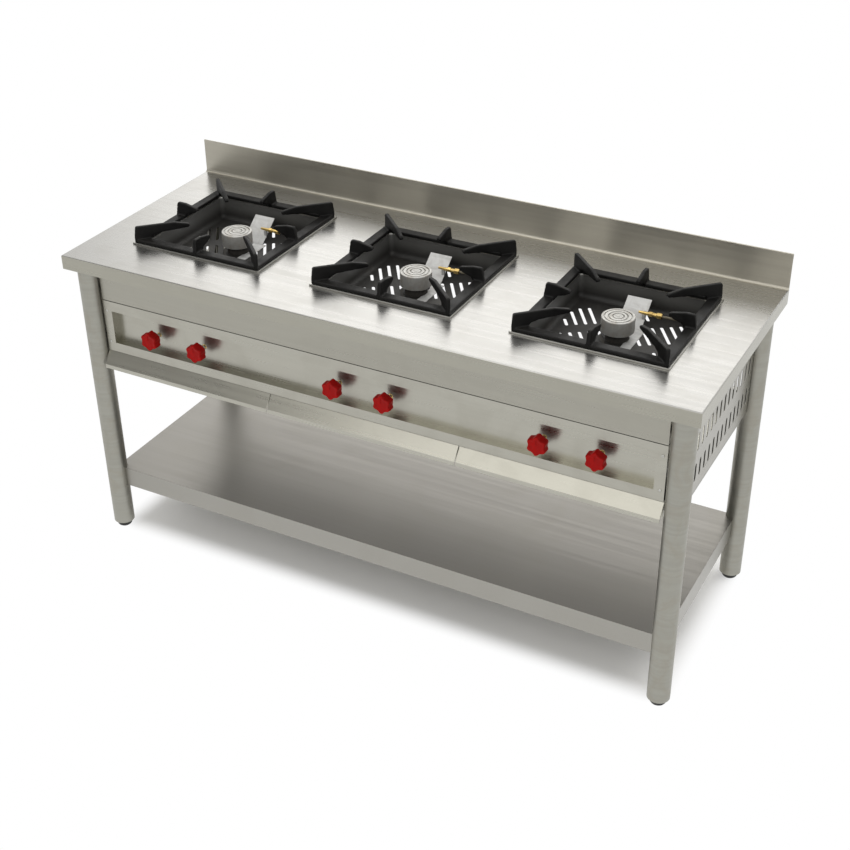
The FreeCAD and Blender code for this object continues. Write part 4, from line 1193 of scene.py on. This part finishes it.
@dataclass
class PanSupports(SubAssembly):
    """The cast frames with eight ribs that hold a wok."""

    half_x: float = 0.200
    half_y: float = 0.198
    rail_width: float = 0.028
    rail_height: float = 0.009
    bottom: float = 0.9049
    top: float = 0.950
    level_radius: float = 0.170
    fall: float = 0.2
    tip_radius: float = 0.128
    tip_bottom: float = 0.931
    root_bottom: float = 0.926
    root_run: float = 0.030
    lean: float = 0.005
    shoulder: float = 0.003
    half_foot: float = 0.006
    half_crest: float = 0.0050
    grain_size: float = 0.0017
    kept: float = 0.4

    def half_at(self, height: float) -> float:
        """Half a rib's thickness at a height, for the draft of its casting."""
        share = min(1.0, max(0.0, height / (self.top - self.bottom)))
        return self.half_foot + (self.half_crest - self.half_foot) * share

    def rail(self, form: Form) -> None:
        """Sweep the rail's section round the frame.

        Args:
            form: Where the faces go.
        """
        w, h = self.rail_width, self.rail_height
        section = [(0, 0), (0, h - 0.0025), (0.0022, h), (w - 0.0012, h), (w, h - 0.0012), (w, 0)]
        rings = []
        for sx, sy in ((-1, -1), (1, -1), (1, 1), (-1, 1)):
            rings.append([form.verts.new((sx * (self.half_x - d), sy * (self.half_y - d), z))
                          for d, z in section])
        for i in range(4):
            skin_between(form, rings[i], rings[(i + 1) % 4])

    def rib(self, form: Form, angle: float, outer: float, rail: float) -> None:
        """One rib, a finger that stands on the frame and reaches inwards.

        Args:
            form: Where the faces go.
            angle: Its direction.
            outer: Where it ends outside.
            rail: Where the frame's rail ends inside.
        """
        height = self.top - self.bottom
        low, root = self.tip_bottom - self.bottom, self.root_bottom - self.bottom
        tip, nose = self.tip_radius, 0.004
        drop = (self.level_radius - tip) * self.fall
        outline = [(tip, low + nose), (tip + nose, low), (rail - self.root_run, root),
                   (rail - self.root_run * 0.35, root * 0.72), (rail, 0), (outer, 0),
                   (outer, self.rail_height), (outer - self.lean, height - self.shoulder),
                   (outer - self.lean - self.shoulder, height),
                   (self.level_radius, height), (tip + nose, height - drop), (tip, height - drop - nose)]
        slab(form, outline, self.half_at, Matrix.Rotation(angle, 4, "Z"))

    def make(self) -> None:
        """Cast one support and set a copy on each well."""
        form = bmesh.new()
        self.rail(form)
        for angle, outer in ((0, self.half_x), (90, self.half_y), (180, self.half_x), (270, self.half_y)):
            self.rib(form, math.radians(angle), outer, outer - self.rail_width)
        diagonal = math.atan2(self.half_y, self.half_x)
        for angle in (diagonal, math.pi - diagonal, math.pi + diagonal, -diagonal):
            inner = math.hypot(self.half_x - self.rail_width, self.half_y - self.rail_width)
            self.rib(form, angle, math.hypot(self.half_x, self.half_y), inner)
        for axis, reach in ((0, self.half_x), (1, self.half_y)):
            for side in (-1, 1):
                edge, facing = Vector((0, 0, 0)), Vector((0, 0, 0))
                edge[axis], facing[axis] = side * reach, side
                cut = bmesh.ops.bisect_plane(form, geom=form.verts[:] + form.edges[:] + form.faces[:],
                                             plane_co=edge, plane_no=facing, clear_outer=True)
                rims = [item for item in cut["geom_cut"] if isinstance(item, bmesh.types.BMEdge)]
                bmesh.ops.holes_fill(form, edges=[e for e in rims if e.is_boundary])
        bmesh.ops.recalc_face_normals(form, faces=form.faces)
        mesh = settled(mesh_of("pan_support", form), [
            ("REMESH", {"mode": "VOXEL", "voxel_size": self.grain_size, "use_smooth_shade": True}),
            ("SMOOTH", {"factor": 0.5, "iterations": 3}),
            ("DECIMATE", {"ratio": self.kept}),
        ])
        for i in BURNERS:
            low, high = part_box(f"pan_support_{i}")
            middle = (low + high) / 2
            stand_in(f"pan_support_{i}_casting", mesh, GRATE_IRON, f"pan_support_{i}",
                     (middle.x, middle.y, low.z))


@dataclass
class Knobs(SubAssembly):
    """The six lobed knobs and their spindles."""

    lobes: int = 6
    radius: float = 0.027
    waist: float = 0.022
    skirt_radius: float = 0.0205
    skirt_depth: float = 0.005
    depth: float = 0.028
    bore_radius: float = 0.00405
    bore_depth: float = 0.020
    pointer_width: float = 0.0024
    pointer_length: float = 0.017
    pointer_start: float = 0.004
    pointer_depth: float = 0.0008
    steps: int = 144

    def reach(self, angle: float, lobed: float) -> float:
        """The grip's radius in a direction.

        Args:
            angle: The direction, from the pointer.
            lobed: 0 for round, 1 for full lobes.

        Returns:
            The radius.
        """
        swing = 0.5 + 0.5 * math.cos(self.lobes * angle)
        full = self.waist + (self.radius - self.waist) * swing ** 1.25
        return self.skirt_radius + (full - self.skirt_radius) * lobed

    def rings(self) -> list[tuple[float, float, float]]:
        """The grip's rings from back to front.

        Returns:
            Depth from the back, lobe share and scale of each ring.
        """
        front, skirt = self.depth, self.skirt_depth
        return [
            (0.0004, 0.0, 0.985), (0.0010, 0.0, 1.0), (skirt - 0.0002, 0.0, 1.0), (skirt, 0.08, 1.0),
            (skirt + 0.0001, 0.9, 0.975), (skirt + 0.0008, 1.0, 0.992), (skirt + 0.0020, 1.0, 1.0),
            (front - 0.0050, 1.0, 0.985), (front - 0.0022, 1.0, 0.968), (front - 0.0008, 1.0, 0.938),
            (front, 1.0, 0.895), (front, 1.0, 0.80), (front - 0.0008, 0.9, 0.74), (front - 0.0012, 0.7, 0.66),
            (front - 0.0012, 0.4, 0.45), (front - 0.0012, 0.1, 0.2),
        ]

    def knob_mesh(self) -> bpy.types.Mesh:
        """Build the grip, its skirt, its bore and the pointer groove.

        Returns:
            The mesh, with its back at y 0 and its front towards -Y.
        """
        form = bmesh.new()
        rows = [[form.verts.new((0, -self.bore_depth, 0))]]
        for depth in (self.bore_depth, 0.0):
            rows.append(self.ring(form, depth, lambda angle: self.bore_radius))
        rows.append(self.ring(form, 0.0, lambda angle: self.skirt_radius * 0.965))
        for depth, lobed, scale in self.rings():
            rows.append(self.ring(form, depth, lambda angle, s=scale, w=lobed: self.reach(angle, w) * s))
        rows.append([form.verts.new((0, -self.depth + 0.0012, 0))])
        for low, high in zip(rows, rows[1:]):
            skin_between(form, low, high)
        crease(form, 40)
        whole = mesh_of("knob", form)
        cutter = bmesh.new()
        half, start = self.pointer_width / 2, self.pointer_start
        block(cutter, (-half, -self.depth - 0.001, start),
              (half, -self.depth + 0.0012 + self.pointer_depth, start + self.pointer_length))
        upright = [e for e in cutter.edges if abs(e.verts[0].co.y - e.verts[1].co.y) > 0.001]
        bmesh.ops.bevel(cutter, geom=upright, offset=half * 0.8, segments=4, affect="EDGES")
        final = bmesh.new()
        final.from_mesh(carved(whole, cutter))
        crease(final, 40)
        return mesh_of("knob_made", final)

    def ring(self, form: Form, depth: float, reach: Callable[[float], float]) -> list:
        """One ring of the knob.

        Args:
            form: Where the vertices go.
            depth: How far it is in front of the knob's back.
            reach: The radius in each direction.

        Returns:
            The vertices.
        """
        made = []
        for i in range(self.steps):
            angle = 2 * math.pi * i / self.steps
            r = reach(angle)
            made.append(form.verts.new((r * math.sin(angle), -depth, r * math.cos(angle))))
        return made

    def make(self) -> None:
        """Set a knob on every spindle."""
        mesh = self.knob_mesh()
        for role in KNOB_ROLES:
            for i in BURNERS:
                name = f"{role}_knob_{i}"
                low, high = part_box(name)
                middle = (low + high) / 2
                stand_in(name + "_grip", mesh, KNOB_RED, name, (middle.x, high.y, middle.z))

    def dress(self) -> None:
        """Finish the spindles."""
        for role in KNOB_ROLES:
            for i in BURNERS:
                self.dress_node(f"{role}_spindle_{i}", SPINDLE_STEEL, 0.0)


def body_of_node(node: str) -> str:
    """The body that a CAD node rides on."""
    return frame["nodes"][node]["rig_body"]


def burner_pitch() -> float:
    """The distance between two burners."""
    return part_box("burner_head_2")[0].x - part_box("burner_head_1")[0].x


# ---------------------------------------------------------------- studio
@dataclass(frozen=True)
class Card:
    """A studio card that metal reflects but the camera doesn't see."""

    name: str
    azimuth: float
    elevation: float
    width: float
    height: float
    strength: float
    soft: float
    lights: bool
    distance: float = 9.0


@dataclass
class Studio:
    """The camera, the floor, the light and the cards around the range."""

    camera_at: Point = (1.6296, -2.9769, 2.5354)
    azimuth: float = 28.4466
    elevation: float = 31.7714
    roll: float = -0.7031
    lens: float = 60.546
    shift: tuple[float, float] = (0.00356, -0.00221)
    floor_reach: float = 40.0
    near_floor: float = 0.0
    far_floor: float = 0.085
    shade_middle: float = 0.0575
    shade_half: tuple[float, float] = (0.80, 0.2925)
    dome: float = 0.78
    sun: float = 0.85
    sun_angle: float = 50.0
    cards: tuple[Card, ...] = field(default_factory=lambda: (
        Card("back_card", -9.0, 29.0, 11.5, 5.2, 1.35, 0.35, True),
        Card("front_card", -171.0, 31.0, 7.0, 6.4, 0.6, 0.12, True),
        Card("dark_card", -127.0, 28.0, 6.6, 6.0, 0.0, 0.08, False),
        Card("top_card", -125.0, 66.0, 7.0, 4.0, 1.2, 0.3, False),
    ))

    def camera(self) -> None:
        """Stand the camera where the photograph was taken."""
        data = bpy.data.cameras.new("camera")
        made = linked("camera", data)
        a, e, r = (math.radians(v) for v in (self.azimuth, self.elevation, self.roll))
        back = Vector((math.sin(a) * math.cos(e), -math.cos(a) * math.cos(e), math.sin(e)))
        side = (-back).cross(Vector((0, 0, 1))).normalized()
        rise = side.cross(-back)
        right = side * math.cos(r) + rise * math.sin(r)
        up = rise * math.cos(r) - side * math.sin(r)
        turn = Matrix((right, up, back)).transposed().to_4x4()
        made.matrix_world = Matrix.Translation(self.camera_at) @ turn
        data.lens = self.lens
        data.sensor_width = 36.0
        data.shift_x, data.shift_y = self.shift
        data.clip_end = 200.0
        bpy.context.scene.camera = made
        LOG.info("camera: lens %.1f mm", self.lens)

    def world(self) -> None:
        """A white room for the camera and for metal, and an even soft light."""
        world = bpy.data.worlds.new("studio_room")
        bpy.context.scene.world = world
        world.use_nodes = True
        bench = Bench(world.node_tree)
        room = world.node_tree.nodes["Background"]
        seen = self.seen(bench)
        bench.feed(room.inputs["Color"], (1.0, 0.995, 0.98, 1.0))
        bench.feed(room.inputs["Strength"], bench.math("ADD", self.dome, bench.times(seen, 1.0 - self.dome)))

    @staticmethod
    def seen(bench: Bench) -> Socket:
        """1 for rays that show the room itself, 0 for rays that only carry light.

        Args:
            bench: Where the nodes go.

        Returns:
            The mask.
        """
        path = bench.node("LightPath")
        first = bench.math("MAXIMUM", path.outputs["Is Camera Ray"], path.outputs["Is Glossy Ray"])
        return bench.math("MAXIMUM", first, path.outputs["Is Transmission Ray"])

    def floor(self) -> None:
        """A pale floor that keeps the range's shadow and fades to white far out."""
        form = bmesh.new()
        bmesh.ops.create_grid(form, x_segments=8, y_segments=8, size=self.floor_reach)
        finish = FloorFinish("studio_floor", (0.90, 0.897, 0.885), 0.9, near=self.near_floor,
                             far=self.far_floor, middle=self.shade_middle, half=self.shade_half)
        made = piece("studio_floor", mesh_of("studio_floor", form), finish, (0, 0, -0.0002))

    def light(self) -> None:
        """One large soft source from the back right."""
        data = bpy.data.lights.new("soft_sky", "SUN")
        data.energy = self.sun
        data.angle = math.radians(self.sun_angle)
        made = linked("soft_sky", data)
        towards = Vector((-0.35, -0.42, -1.0))
        made.rotation_euler = towards.to_track_quat("-Z", "Y").to_euler()
        made.visible_glossy = False

    def card(self, card: Card) -> None:
        """Hang one card in its place, bent to face the range.

        Args:
            card: The card.
        """
        a, e = math.radians(card.azimuth), math.radians(card.elevation)
        away = Vector((math.sin(a) * math.cos(e), math.cos(a) * math.cos(e), math.sin(e)))
        form = bmesh.new()
        bmesh.ops.create_grid(form, x_segments=12, y_segments=12, size=0.5)
        for vertex in form.verts:
            vertex.co.x *= card.width
            vertex.co.y *= card.height
            vertex.co.z = (vertex.co.x ** 2 + vertex.co.y ** 2) / (2 * card.distance)
        finish = CardFinish(card.name, (1.0, 0.99, 0.97), 1.0, card=card)
        made = piece(card.name, mesh_of(card.name, form), finish, away * card.distance + Vector((0, 0, 0.6)))
        made.rotation_euler = (-away).to_track_quat("Z", "Y").to_euler()
        made.visible_camera = False
        made.visible_shadow = False
        made.visible_diffuse = card.lights

    def build(self) -> None:
        """Set up everything round the range."""
        self.camera()
        self.world()
        self.floor()
        self.light()
        for card in self.cards:
            self.card(card)
        bpy.context.scene.view_settings.view_transform = "Standard"


@dataclass(frozen=True)
class FloorFinish(Finish):
    """A pale matt floor that turns to plain white away from the range."""

    near: float = 0.0
    far: float = 1.0
    middle: float = 0.0
    half: tuple[float, float] = (1.0, 1.0)

    def dress(self, bench: Bench, shader: Node) -> None:
        """Fade from the lit floor to plain white.

        Args:
            bench: Where the nodes go.
            shader: The Principled BSDF.
        """
        place = bench.here()
        x, y = bench.parts(place)[:2]
        past = bench.math("MAXIMUM", bench.math("SUBTRACT", bench.math("ABSOLUTE", x), self.half[0]), 0.0)
        depth = bench.math("ABSOLUTE", bench.math("SUBTRACT", y, self.middle))
        behind = bench.math("MAXIMUM", bench.math("SUBTRACT", depth, self.half[1]), 0.0)
        away = bench.math("SQRT", bench.math("ADD", bench.times(past, past),
                                             bench.times(behind, behind)))
        fade = bench.times(bench.span(away, self.near, self.far), Studio.seen(bench))
        grain = bench.span(bench.noise(place, 3.0, 4.0), 0.3, 0.7, 0.985, 1.0)
        bench.fill(shader, Base_Color=bench.mixed(1.0, self.colour, grain, "MULTIPLY"),
                   Roughness=self.roughness)
        shader.inputs["Specular IOR Level"].default_value = 0.1
        bench.shown(fade, shader.outputs[0], bench.node("Emission").outputs[0])


@dataclass(frozen=True)
class CardFinish(Finish):
    """A card with a soft border."""

    card: Card | None = None
    dark_glow: float = 0.32

    def dress(self, bench: Bench, shader: Node) -> None:
        """Fade the card out towards its border.

        Args:
            bench: Where the nodes go.
            shader: The Principled BSDF, which the card doesn't need.
        """
        bench.tree.nodes.remove(shader)
        x, y = bench.parts(bench.here())[:2]
        shares = []
        for socket, size in ((x, self.card.width), (y, self.card.height)):
            edge = size / 2
            shares.append(bench.span(bench.math("ABSOLUTE", socket), edge, edge * (1 - self.card.soft)))
        share = bench.times(*shares)
        strength = 1.0 + self.card.strength if self.card.strength > 0 else self.dark_glow
        glow = bench.fill(bench.node("Emission"), Color=opaque(self.colour), Strength=strength)
        bench.shown(share, bench.node("BsdfTransparent").outputs[0], glow.outputs[0])


def main() -> None:
    """Build the range's looks, piece by piece, and the studio."""
    logging.basicConfig(level=logging.INFO, format="%(name)s: %(message)s")
    for assembly in (Stand(), Top(), Covers(), Trays(), GasTrain(), Burners(), PanSupports(), Knobs()):
        assembly.dress()
        assembly.make()
    Studio().build()


if __name__ == "__main__":
    main()
